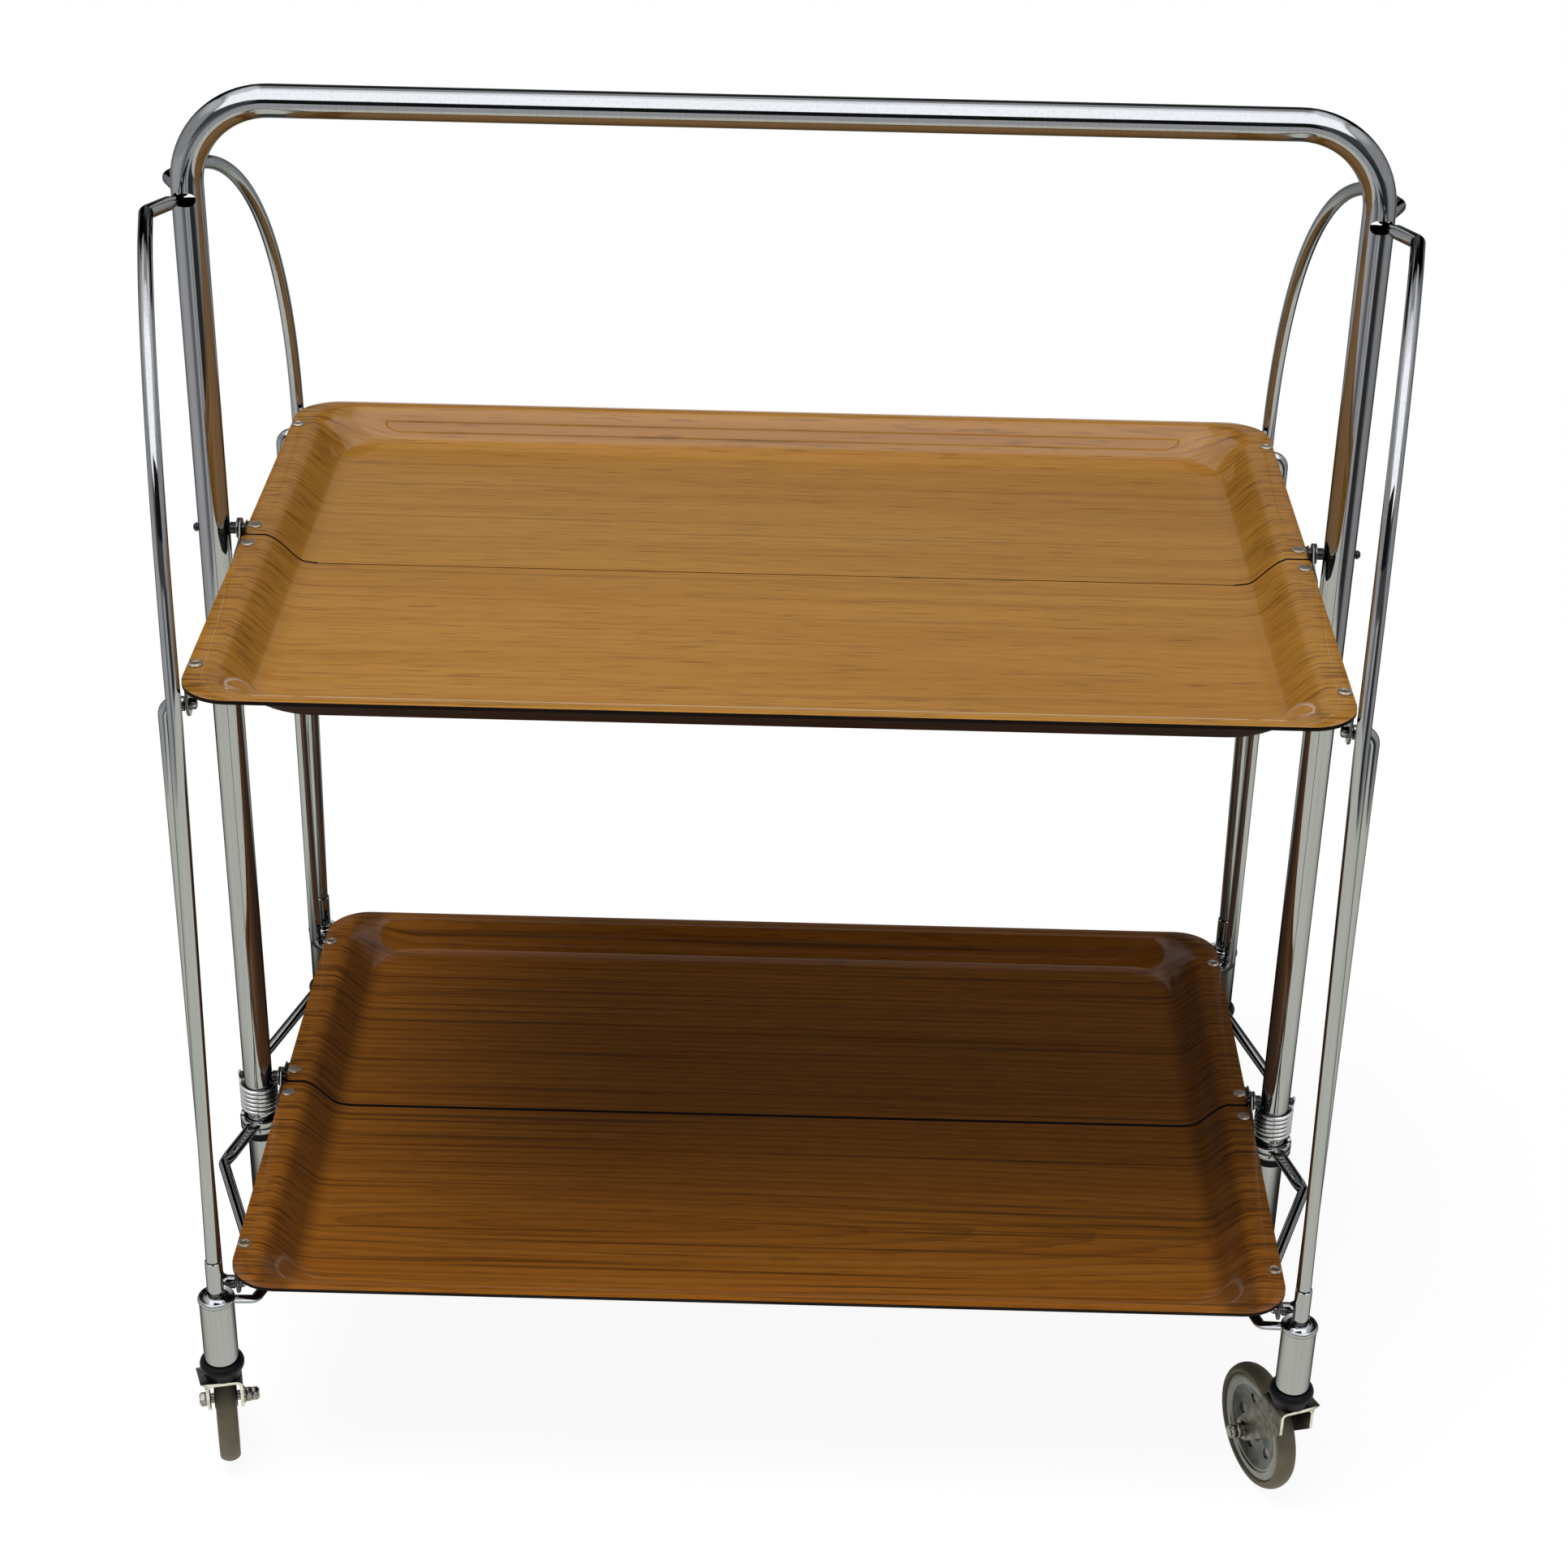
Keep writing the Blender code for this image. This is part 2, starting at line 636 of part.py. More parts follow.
def lower_arm(eye_height):
    """A bar from the eye out to a corner, back in under the tray and round a flattened hook to the tube."""
    rise = ARM_JOIN_HEIGHT - eye_height
    route = [
        (0.3235, -0.0110, eye_height),
        (0.3340, -0.0570, eye_height + rise * 0.25),
        (0.2862, -0.1920, ARM_JOIN_HEIGHT),
        (0.2890, -0.2010, ARM_JOIN_HEIGHT),
        (0.3030, -0.2015, ARM_JOIN_HEIGHT),
    ]
    path = bent(route[:3], 0.006, 2)[:-1] + bent(route[1:], 0.0035, 2)[1:]
    radii = [0.0047 if point[1] > -0.046 else ARM_RADIUS for point in path]
    bar = rod(path, radii)
    for vert in bar.vertices:
        beaten = min(1.0, max(0.0, (vert.co.y + 0.058) / 0.012))
        level = eye_height + rise * 0.25 * min(1.0, max(0.0, (-0.011 - vert.co.y) / 0.046))
        vert.co.z = level + (vert.co.z - level) * (1 - 0.56 * beaten)
        pressed = min(1.0, max(0.0, (-0.184 - vert.co.y) / 0.008))
        vert.co.z = ARM_JOIN_HEIGHT + (vert.co.z - ARM_JOIN_HEIGHT) * (1 - 0.5 * pressed)
    half_eye = EYE_THICKNESS / 2
    eye_profile = [
        (HOOP_RADIUS + 0.0004, eye_height + half_eye),
        (0.0130, eye_height + half_eye),
        (0.0130, eye_height - half_eye),
        (HOOP_RADIUS + 0.0004, eye_height - half_eye),
    ]
    eye = turned(eye_profile, 14, ring=True)
    eye.transform(Matrix.Translation((HOOP_HALF_WIDTH, 0, 0)))
    return combined(eye, "UNION", bar)


tube = caster_tube()
for face_name, eye_height in (("front", FRONT_EYE_HEIGHT), ("back", BACK_EYE_HEIGHT)):
    frame = combined(tube.copy(), "UNION", lower_arm(eye_height))
    for corner, (side, face) in CORNERS.items():
        if corner.startswith(face_name):
            place(f"caster_tube_{corner}", frame, CHROME, (0, 0, 0), (side, face, 1))

collar_top = BACK_EYE_HEIGHT - EYE_THICKNESS / 2 - 0.0005
collar_profile = [
    (HOOP_RADIUS + CLEARANCE, collar_top),
    (0.0108, collar_top - 0.0006),
    (0.0108, collar_top - 0.0060),
    (HOOP_RADIUS + CLEARANCE, collar_top - 0.0060),
]
collar = turned(collar_profile, 14, ring=True)
for side_name, side in SIDES.items():
    place(f"leg_collar_{side_name}", collar, BLACK_PLASTIC, (side * HOOP_HALF_WIDTH, 0, 0))


# Return springs: close turns, then a steeper last turn down to the front arm


def spring():
    """Wound about Z from its outer side, where the top end kicks out, passing the front going down."""
    points_a_turn = 8
    turns = SPRING_CLOSE_TURNS + 0.75
    count = round(points_a_turn * turns)
    coil = []
    for step in range(count + 1):
        turn = turns * step / count
        angle = 2 * math.pi * turn
        if turn < SPRING_CLOSE_TURNS:
            height = SPRING_TOP + (SPRING_CLOSE_FOOT - SPRING_TOP) * turn / SPRING_CLOSE_TURNS
        else:
            share = (turn - SPRING_CLOSE_TURNS) / (turns - SPRING_CLOSE_TURNS)
            height = SPRING_CLOSE_FOOT + (SPRING_FOOT - SPRING_CLOSE_FOOT) * share
        coil.append(Vector((SPRING_RADIUS * math.cos(angle), -SPRING_RADIUS * math.sin(angle), height)))
    last = (coil[-1] - coil[-2]).normalized()
    last.z = 0.0
    kick = coil[0] + Vector((0.0008, 0.0042, 0.0016))
    path = [kick + Vector((0.0014, 0.0020, 0.0034)), kick] + coil
    path += [coil[-1] + last * 0.0032]
    report_gap(path, points_a_turn)
    return rod(path, [SPRING_WIRE] * len(path), resolution=1)


def report_gap(path, points_a_turn):
    """Prints the least gap between the wire and its own next turns."""
    least = min(
        (a - b).length for i, a in enumerate(path) for b in path[i + points_a_turn // 2 :]
    )
    print(f"spring: least gap to itself {1000 * (least - 2 * SPRING_WIRE):.2f} mm")


spring_wire = spring()
for side_name, side in SIDES.items():
    place(f"return_spring_{side_name}", spring_wire, SPRING_STEEL, (side * HOOP_HALF_WIDTH, 0, 0), (side, 1, 1))


# Casters: a plastic socket in each tube, a swivelling steel fork with its bolt, a hub and a tyre

SOCKET_FOOT = FORK_TOP + CLEARANCE
KINGPIN_RADIUS = 0.0032
KINGPIN_BORE = 0.0036


def caster_socket():
    inside = CASTER_TUBE_RADIUS - 0.0014 - CLEARANCE
    shoulder = CASTER_TUBE_FOOT - CLEARANCE
    profile = [
        (KINGPIN_BORE, shoulder + 0.026),
        (inside, shoulder + 0.026),
        (inside, shoulder),
        (0.0116, shoulder),
        (0.0129, shoulder - 0.0030),
        (0.0124, shoulder - 0.0066),
        (0.0105, SOCKET_FOOT),
        (KINGPIN_BORE, SOCKET_FOOT),
    ]
    return turned(profile, 12, ring=True)


def caster_fork():
    """In the caster's own frame: the wheel trails along +X and the bolt runs along Y."""
    half_gap = FORK_GAP / 2
    cheek_outline = [(-0.0100, FORK_TOP - 0.0004), (-0.0100, 0.0660), (-0.0080, 0.0640)]
    cheek_outline += arc((CASTER_TRAIL, WHEEL_RADIUS), 0.0070, -130, 45, 5)
    cheek_outline += [(0.0130, FORK_TOP - 0.0020), (0.0110, FORK_TOP - 0.0004)]
    flat = plate(cheek_outline, STEEL, "Z")
    stand = Matrix.Rotation(math.radians(90), 4, "X")
    cheeks = [moved(flat, stand, Matrix.Translation((0, y, 0))) for y in (-half_gap, half_gap + STEEL)]
    edge = half_gap + STEEL
    crown_outline = [(-0.0100, -edge + 0.001), (0.0110, -edge + 0.001), (0.0110, edge - 0.001), (-0.0100, edge - 0.001)]
    crown = plate(crown_outline, STEEL, "Z")
    crown.transform(Matrix.Translation((0, 0, FORK_TOP - STEEL)))
    kingpin = cylinder(KINGPIN_RADIUS, (0, 0, FORK_TOP - STEEL * 0.5), (0, 0, FORK_TOP + 0.030), 8)
    spot = (CASTER_TRAIL, WHEEL_RADIUS)

    def across(radius, start, end, sides):
        return cylinder(radius, (spot[0], start, spot[1]), (spot[0], end, spot[1]), sides)

    bolt = across(AXLE_RADIUS, -edge - 0.0048, edge + 0.0092, 8)
    washer = across(0.0052, edge - 0.0002, edge + 0.0009, 10)
    head = across(0.0046, -edge - 0.0042, -edge + 0.0002, 6)
    nut = across(0.0046, edge + 0.0006, edge + 0.0048, 6)
    lock_nut = across(0.0043, edge + 0.0044, edge + 0.0084, 6)
    return combined(crown, "UNION", *cheeks, kingpin, bolt, washer, head, nut, lock_nut)


def wheel_hub():
    """Turned about Z, then laid so that its axle runs along Y. Both faces are dished between rim and boss."""
    half_width = HUB_WIDTH / 2
    bore = AXLE_RADIUS + 0.0004
    face = [
        (bore, half_width + 0.0016),
        (0.0072, half_width + 0.0014),
        (0.0084, half_width - 0.0036),
        (0.0170, half_width - 0.0026),
        (0.0272, half_width - 0.0034),
        (0.0286, half_width),
        (HUB_RADIUS, half_width - 0.0004),
    ]
    profile = face + [(radius, -height) for radius, height in reversed(face)]
    mesh = turned(profile, 18, ring=True)
    mesh.transform(Matrix.Rotation(math.radians(90), 4, "X"))
    return mesh


def tyre():
    """One facet faces straight down, so the tread's corners stand out by what puts that flat at the radius."""
    facets = 22
    inner = HUB_RADIUS / math.cos(math.pi / facets) + CLEARANCE
    half_width = WHEEL_WIDTH / 2
    tread = WHEEL_RADIUS / math.cos(math.pi / facets)
    crown = [(inner, half_width - 0.0006), (0.0346, half_width)]
    crown += [(0.0369, half_width - 0.0018), (tread, half_width - 0.0046)]
    profile = crown + [(radius, -height) for radius, height in reversed(crown)]
    mesh = turned(profile, facets, ring=True)
    mesh.transform(Matrix.Rotation(math.radians(90), 4, "X"))
    return mesh


socket, fork, hub, rubber = caster_socket(), caster_fork(), wheel_hub(), tyre()
for corner, (side, face) in CORNERS.items():
    place(f"caster_socket_{corner}", socket, BLACK_PLASTIC, (side * LEG_X, -face * LEG_Y, 0))
    swivel = pivot(f"swivel_{corner}", (side * LEG_X, -face * LEG_Y, 0), CASTER_HEADINGS[corner])
    place(f"caster_fork_{corner}", fork, ZINC, (0, 0, 0), (1, side, 1), swivel)
    axle = (CASTER_TRAIL, 0, WHEEL_RADIUS)
    place(f"wheel_hub_{corner}", hub, GREY_PLASTIC, axle, (1, 1, 1), swivel)
    place(f"tyre_{corner}", rubber, GREY_RUBBER, axle, (1, 1, 1), swivel)
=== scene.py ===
"""The folding serving trolley in its finishes: chromed tube and rods, two pressed veneer trays, four casters.

Metres, +Z up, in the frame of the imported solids. The trolley's front faces -Y. A mirrored piece is modelled
once, for the front right corner, and placed with a negative scale.
"""

import json
import math

import bmesh
import bpy
from mathutils import Matrix, Vector


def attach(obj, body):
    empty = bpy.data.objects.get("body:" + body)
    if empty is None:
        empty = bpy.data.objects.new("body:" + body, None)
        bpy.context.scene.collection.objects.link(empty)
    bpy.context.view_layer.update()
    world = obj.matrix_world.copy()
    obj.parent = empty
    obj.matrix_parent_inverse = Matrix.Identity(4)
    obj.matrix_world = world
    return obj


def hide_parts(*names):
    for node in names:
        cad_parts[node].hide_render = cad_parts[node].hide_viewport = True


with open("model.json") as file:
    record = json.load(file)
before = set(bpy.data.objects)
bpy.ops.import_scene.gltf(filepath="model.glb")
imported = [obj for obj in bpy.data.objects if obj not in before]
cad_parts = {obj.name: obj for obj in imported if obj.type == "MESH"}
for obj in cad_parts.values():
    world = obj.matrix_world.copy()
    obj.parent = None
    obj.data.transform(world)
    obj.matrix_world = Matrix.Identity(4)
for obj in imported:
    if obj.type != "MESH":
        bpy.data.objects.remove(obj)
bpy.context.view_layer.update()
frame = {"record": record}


# Camera: held in front of the trolley at head height, turned a little to the left and looking down at both
# trays.

CAMERA_PLACE = (0.0206, -1.5690, 1.2298)
CAMERA_TURN = 0.0084
CAMERA_DROP = 0.5009
CAMERA_ROLL = 0.0207
LENS_MM = 68.94
SENSOR_MM = 36.0


def placed(name, data):
    """A new object in the scene."""
    made = bpy.data.objects.new(name, data)
    bpy.context.scene.collection.objects.link(made)
    return made


camera = placed("camera", bpy.data.cameras.new("camera"))
camera.data.lens = LENS_MM
camera.data.sensor_width = SENSOR_MM
camera.data.sensor_fit = "HORIZONTAL"
camera.data.clip_start = 0.05
camera.data.clip_end = 50.0
aim = Matrix.Rotation(CAMERA_TURN, 4, "Z") @ Matrix.Rotation(math.pi / 2 - CAMERA_DROP, 4, "X")
camera.matrix_world = Matrix.Translation(CAMERA_PLACE) @ aim @ Matrix.Rotation(CAMERA_ROLL, 4, "Z")
bpy.context.scene.camera = camera


# Handle frame: one steel tube of 18 mm, bent to an upside-down U and chromed. Near the top it has four milled
# slots for the leg rods, and each leg is drilled for the hinge pins of both trays.

HOOP_HALF_WIDTH = 0.321
HOOP_TOP = 0.777
HOOP_FOOT = 0.045
HOOP_RADIUS = 0.009
HOOP_WALL = 0.0012
HOOP_BEND = 0.047
SLOT_HEIGHT = 0.724
SLOT_HALF_WIDTH = 0.0065
SLOT_HALF_HEIGHT = 0.0038
SLOT_ANGLE = math.radians(8)
UPPER_RIM = 0.525
LOWER_RIM = 0.148
PIN_RISE = 0.0038
PIN_HOLE = 0.0023
HOOP_SIDES = 36
HOOP_BEND_STEPS = 20
RING_OFF_PIN = 0.005
RING_OFF_SLOT = 0.0055
CUTTER_DEPTH = 0.016
CUTTER_REACH = 0.02
SIDES = {"left": -1, "right": 1}
LEVELS = {"upper": UPPER_RIM, "lower": LOWER_RIM}
CORNERS = {"front_left": (-1, 1), "front_right": (1, 1), "back_left": (-1, -1), "back_right": (1, -1)}
BODY_OF = {
    solid: body for body, solids in frame["record"]["behaviour"]["bodies"].items() for solid in solids
}
MERGE = 1e-6
SHARP_EDGE = math.radians(38)


def linear(code):
    """An sRGB hex colour as linear RGBA."""
    parts = [int(code[start : start + 2], 16) / 255 for start in (0, 2, 4)]
    return (*[part / 12.92 if part <= 0.04045 else ((part + 0.055) / 1.055) ** 2.4 for part in parts], 1.0)


def node(tree, kind, inputs=None, **settings):
    """A new node, its kind named without ShaderNode, or an existing one, with its settings and inputs.

    An input is a value or another node's output.
    """
    made = tree.nodes.new("ShaderNode" + kind) if isinstance(kind, str) else kind
    for key, value in settings.items():
        setattr(made, key, value)
    for key, value in (inputs or {}).items():
        if isinstance(value, bpy.types.NodeSocket):
            tree.links.new(value, made.inputs[key])
        else:
            made.inputs[key].default_value = value
    return made


def surface(name):
    """A new material, its node tree, its shader and the Object coordinates of what wears it."""
    made = bpy.data.materials.new(name)
    made.use_nodes = True
    tree = made.node_tree
    place = node(tree, "TexCoord").outputs["Object"]
    return made, tree, tree.nodes["Principled BSDF"], place


def ranged_noise(tree, place, scale, detail, low, high, start, end, **settings):
    """Noise of one scale, or of one along each axis, brought from between two levels to between two values."""
    if isinstance(scale, tuple):
        place = node(tree, "Mapping", {"Vector": place, "Scale": scale}).outputs[0]
        scale = 1.0
    noise = node(tree, "TexNoise", {"Vector": place, "Scale": scale, "Detail": detail}).outputs[0]
    limits = {"Value": noise, "From Min": low, "From Max": high, "To Min": start, "To Max": end}
    return node(tree, "MapRange", limits, **settings).outputs[0]


# Bright chromium over nickel: a mirror with a faint haze from handling, wiped in streaks down the legs, and
# with a few pin holes where the steel shows.
HAZE_PER_METRE = 1 / 0.025
PINS_PER_METRE = 1 / 0.0016
WIPES_PER_METRE = (650.0, 650.0, 9.0)
chrome, tree, shader, place = surface("bright chromium plate")
roughness = ranged_noise(tree, place, HAZE_PER_METRE, 5.0, 0.35, 0.7, 0.04, 0.1)
speckle = ranged_noise(tree, place, PINS_PER_METRE, 2.0, 0.64, 0.76, 0.0, 0.3)
wiped = ranged_noise(tree, place, WIPES_PER_METRE, 3.0, 0.45, 0.75, 0.0, 0.3)
tint = node(tree, "Mix", {0: wiped, 6: linear("9D9E9D"), 7: linear("7C7D79")}, data_type="RGBA").outputs[2]
tint = node(tree, "Mix", {0: speckle, 6: tint, 7: linear("6C6960")}, data_type="RGBA").outputs[2]
edge_tint = {"Specular Tint": linear("7E7F7E")}
node(tree, shader, {"Base Color": tint, "Metallic": 1.0, "Roughness": roughness, **edge_tint})


def clouded(name, low, high, scale, detail, finish, sharpen=None, roughness=None, relief=None):
    """A material in clouds between two colours, with its shader's other values.

    The clouds have one scale, or one along each axis, and may be sharpened between two levels. The roughness
    goes with them from one value to another. A relief has its grain's scale, or None for the clouds' own, its
    strength and its depth.
    """
    made, tree, shader, place = surface(name)
    finish = dict(finish)
    if isinstance(scale, tuple):
        place = node(tree, "Mapping", {"Vector": place, "Scale": scale}).outputs[0]
        scale = 1.0
    height = clouds = node(tree, "TexNoise", {"Vector": place, "Scale": scale, "Detail": detail}).outputs[0]
    if sharpen:
        limits = {"Value": clouds, "From Min": sharpen[0], "From Max": sharpen[1]}
        clouds = node(tree, "MapRange", limits).outputs[0]
    if roughness:
        limits = {"Value": clouds, "To Min": roughness[0], "To Max": roughness[1]}
        finish["Roughness"] = node(tree, "MapRange", limits).outputs[0]
    if relief:
        grain, strength, depth = relief
        if grain:
            height = node(tree, "TexNoise", {"Vector": place, "Scale": grain, "Detail": 2.0}).outputs[0]
        raised_by = {"Height": height, "Strength": strength, "Distance": depth}
        finish["Normal"] = node(tree, "Bump", raised_by).outputs[0]
    colours = {0: clouds, 6: linear(low), 7: linear(high)}
    finish["Base Color"] = node(tree, "Mix", colours, data_type="RGBA").outputs[2]
    node(tree, shader, finish)
    return made


# The bore of the tube was never plated, so it is dull steel. Its near black is painted shade, here in the bore
# and also in the open middles of the corner rivets and in the grooves above the rods' ferrules.
hollow_shade_steel = clouded(
    "unplated steel, near black as painted shade", "0E0D0C", "1E1814", 400.0, 3.0, {"Metallic": 0.3, "Roughness": 0.75}
)


def mesh_of(shape, *finishes):
    """The mesh of a bmesh, which is freed, with its finishes in order."""
    made = bpy.data.meshes.new("shape")
    shape.to_mesh(made)
    shape.free()
    for finish in finishes:
        made.materials.append(finish)
    return made


def through(mesh, *modifiers):
    """The mesh after its modifiers, each given as a kind and its settings."""
    work = placed("work", mesh)
    for kind, settings in modifiers:
        modifier = work.modifiers.new(kind.lower(), kind)
        for key, value in settings.items():
            setattr(modifier, key, value)
    graph = bpy.context.evaluated_depsgraph_get()
    made = bpy.data.meshes.new_from_object(work.evaluated_get(graph))
    bpy.data.objects.remove(work)
    return made


def cut(mesh, *cutters):
    """The mesh with each cutter's space taken out of it."""
    tools = [placed("cutter", cutter) for cutter in cutters]
    made = through(mesh, *[("BOOLEAN", {"object": tool, "operation": "DIFFERENCE"}) for tool in tools])
    for tool in tools:
        bpy.data.objects.remove(tool)
    return made


def moved(mesh, matrix):
    """A copy of a mesh in another place, still facing out."""
    made = mesh.copy()
    made.transform(matrix)
    if matrix.determinant() < 0:
        made.flip_normals()
    return made


def piece(name, mesh, solid, matrix=Matrix(), stands_for_it=True):
    """A finished piece in its place. It rides the solid's body and, unless told not to, is shown instead."""
    shown = moved(mesh, matrix)
    shown.name = name
    shown.shade_smooth()
    shown.set_sharp_from_angle(angle=SHARP_EDGE)
    obj = placed(name, shown)
    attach(obj, BODY_OF[solid])
    if stands_for_it:
        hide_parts(solid)
    return obj


def only(items, kind):
    """Those of the bmesh items that are of one kind."""
    return [item for item in items if isinstance(item, kind)]


def extruded(shape, ring, matrix):
    """The next ring of edges after extruding a ring and moving what is new."""
    new = bmesh.ops.extrude_edge_only(shape, edges=ring)["geom"]
    bmesh.ops.transform(shape, matrix=matrix, verts=only(new, bmesh.types.BMVert))
    return [edge for edge in only(new, bmesh.types.BMEdge) if edge.is_boundary]


def hoop():
    """The tube's outer wall, with more rings near its holes, before its thickness."""
    heights = [HOOP_FOOT]
    for level in (LOWER_RIM + PIN_RISE, UPPER_RIM + PIN_RISE):
        heights += [level - RING_OFF_PIN, level + RING_OFF_PIN]
    heights += [SLOT_HEIGHT - RING_OFF_SLOT, HOOP_TOP - HOOP_BEND]
    shape = bmesh.new()
    foot = Matrix.Translation((-HOOP_HALF_WIDTH, 0, HOOP_FOOT))
    bmesh.ops.create_circle(shape, cap_ends=False, segments=HOOP_SIDES, radius=HOOP_RADIUS, matrix=foot)
    ring = shape.edges[:]
    for low, high in zip(heights, heights[1:]):
        ring = extruded(shape, ring, Matrix.Translation((0, 0, high - low)))
    for side in (-1, 1):
        spun = bmesh.ops.spin(
            shape,
            geom=ring,
            cent=(side * (HOOP_HALF_WIDTH - HOOP_BEND), 0, HOOP_TOP - HOOP_BEND),
            axis=(0, 1, 0),
            angle=math.pi / 2,
            steps=HOOP_BEND_STEPS,
        )
        ring = only(spun["geom_last"], bmesh.types.BMEdge)
        if side < 0:
            ring = extruded(shape, ring, Matrix.Translation((2 * (HOOP_HALF_WIDTH - HOOP_BEND), 0, 0)))
    for high, low in zip(heights[::-1], heights[-2::-1]):
        ring = extruded(shape, ring, Matrix.Translation((0, 0, low - high)))
    bmesh.ops.remove_doubles(shape, verts=shape.verts, dist=MERGE)
    bmesh.ops.recalc_face_normals(shape, faces=shape.faces)
    outward = max(shape.faces, key=lambda face: face.calc_center_median().z).normal.z
    if outward < 0:
        bmesh.ops.reverse_faces(shape, faces=shape.faces)
    # The inside wall takes the near-black finish: painted shade in the bore.
    wall = {"thickness": HOOP_WALL, "offset": -1.0, "material_offset": 1}
    return through(mesh_of(shape, chrome, hollow_shade_steel), ("SOLIDIFY", wall))


def slot_cutter(side, face):
    """A round-ended block across one wall of the tube, for face 1 at the front and -1 at the back."""
    shape = bmesh.new()
    bmesh.ops.create_cube(shape, size=1.0)
    block = Matrix.Diagonal((2 * SLOT_HALF_WIDTH, CUTTER_DEPTH, 2 * SLOT_HALF_HEIGHT, 1))
    inward = Matrix.Translation((0, -CUTTER_DEPTH / 2, 0)) @ block
    bmesh.ops.transform(shape, matrix=inward, verts=shape.verts)
    across = [edge for edge in shape.edges if abs(edge.verts[0].co.y - edge.verts[1].co.y) > 0.01]
    round_ends = SLOT_HALF_HEIGHT * 0.999
    bmesh.ops.bevel(
        shape, geom=across, offset=round_ends, segments=8, profile=0.5, affect="EDGES", material=-1
    )
    aimed = Matrix.Diagonal((1, face, 1, 1)) @ Matrix.Rotation(side * SLOT_ANGLE, 4, "Z")
    place_there = Matrix.Translation((side * HOOP_HALF_WIDTH, 0, SLOT_HEIGHT))
    return moved(mesh_of(shape), place_there @ aimed)


def cylinder(radius, start, end, sides=32):
    """A closed round bar between two points."""
    start, end = Vector(start), Vector(end)
    turn = Vector((0, 0, 1)).rotation_difference(end - start).to_matrix().to_4x4()
    shape = bmesh.new()
    bmesh.ops.create_cone(
        shape,
        cap_ends=True,
        segments=sides,
        radius1=radius,
        radius2=radius,
        depth=(end - start).length,
        matrix=Matrix.Translation((start + end) / 2) @ turn,
    )
    return mesh_of(shape)


cutters = [slot_cutter(side, face) for side in SIDES.values() for face in (1, -1)]
for side in SIDES.values():
    for level in LEVELS.values():
        height = level + PIN_RISE
        near, far = side * (HOOP_HALF_WIDTH - CUTTER_REACH), side * (HOOP_HALF_WIDTH + CUTTER_REACH)
        cutters.append(cylinder(PIN_HOLE, (near, 0, height), (far, 0, height), 20))
piece("hoop_tube", cut(hoop(), *cutters), "handle_frame")


# Tube plugs: black plastic plugs pushed into the open feet of the hoop, with a domed foot.

PLUG_DOME = 0.0035


def arc(centre, radius, first, last, steps):
    """Points on an arc, from one angle to another in degrees."""
    angles = [math.radians(first + (last - first) * step / steps) for step in range(steps + 1)]
    return [(centre[0] + radius * math.cos(angle), centre[1] + radius * math.sin(angle)) for angle in angles]


def turned(profile, *finishes, steps=48, ring=False, soften=0.0):
    """A shape turned about Z from pairs of radius and height, its corners softened by that much."""
    shape = bmesh.new()
    points = [shape.verts.new((radius, 0, height)) for radius, height in profile]
    for pair in zip(points, points[1:] + points[:1] if ring else points[1:]):
        shape.edges.new(pair)
    if soften:
        bmesh.ops.bevel(
            shape,
            geom=points if ring else points[1:-1],
            offset=soften,
            segments=3,
            profile=0.5,
            affect="VERTICES",
            material=-1,
            clamp_overlap=True,
        )
    everything = shape.verts[:] + shape.edges[:]
    bmesh.ops.spin(
        shape, geom=everything, cent=(0, 0, 0), axis=(0, 0, 1), angle=math.tau, steps=steps, use_merge=True
    )
    bmesh.ops.remove_doubles(shape, verts=shape.verts, dist=MERGE)
    bmesh.ops.recalc_face_normals(shape, faces=shape.faces)
    return mesh_of(shape, *finishes)


def raised(level, *points):
    """Points of a profile whose heights are given above a level."""
    return [(radius, level + rise) for radius, rise in points]


# Moulded black polyamide: near black, with a satin skin and a fine moulded grain.
GRAIN_PER_METRE = 1 / 0.0006
black_plastic = clouded(
    "moulded black polyamide",
    "060608",
    "101114",
    160.0,
    4.0,
    {"Specular IOR Level": 0.12},
    roughness=(0.4, 0.6),
    relief=(GRAIN_PER_METRE, 0.2, 0.0001),
)

plug_bore = HOOP_RADIUS - HOOP_WALL - 0.0005
plug_foot = HOOP_FOOT - 0.0003
plug_profile = raised(plug_foot, (0.0, 0.0143), (plug_bore - 0.001, 0.0143), (plug_bore, 0.0113))
plug_profile += [(plug_bore, plug_foot), (HOOP_RADIUS, plug_foot)]
dome = [(HOOP_RADIUS * math.cos(turn), -PLUG_DOME * math.sin(turn)) for turn in (0.3, 0.6, 0.9, 1.2)]
plug_profile += raised(plug_foot, *dome, (0.0, -PLUG_DOME))
plug = turned(plug_profile, black_plastic)
for name, side in SIDES.items():
    piece(f"{name}_tube_plug", plug, f"tube_plug_{name}", Matrix.Translation((side * HOOP_HALF_WIDTH, 0, 0)))


# Hinge pins: blackened steel pins through each leg of the hoop. The outer end is peened over, and a wide
# shoulder keeps the hinge leaves off the tube.

TRAY_END = 0.3045
SHEET = 0.0012
CLEARANCE = 0.0003
PIN_RADIUS = 0.002
INNER_LEAF = TRAY_END + 0.0005
OUTER_LEAF = INNER_LEAF + SHEET + 0.0004
LEAF_OUTSIDE = OUTER_LEAF + SHEET
UPRIGHT_INSIDE = HOOP_HALF_WIDTH - HOOP_RADIUS
UPRIGHT_OUTSIDE = HOOP_HALF_WIDTH + HOOP_RADIUS

# Blackened steel: a thin oxide and lacquer finish, almost black and rather glossy, cloudy where fingers
# rubbed it.
black_steel = clouded(
    "blackened steel", "050506", "121211", 250.0, 5.0, {"Metallic": 0.2}, roughness=(0.12, 0.4)
)

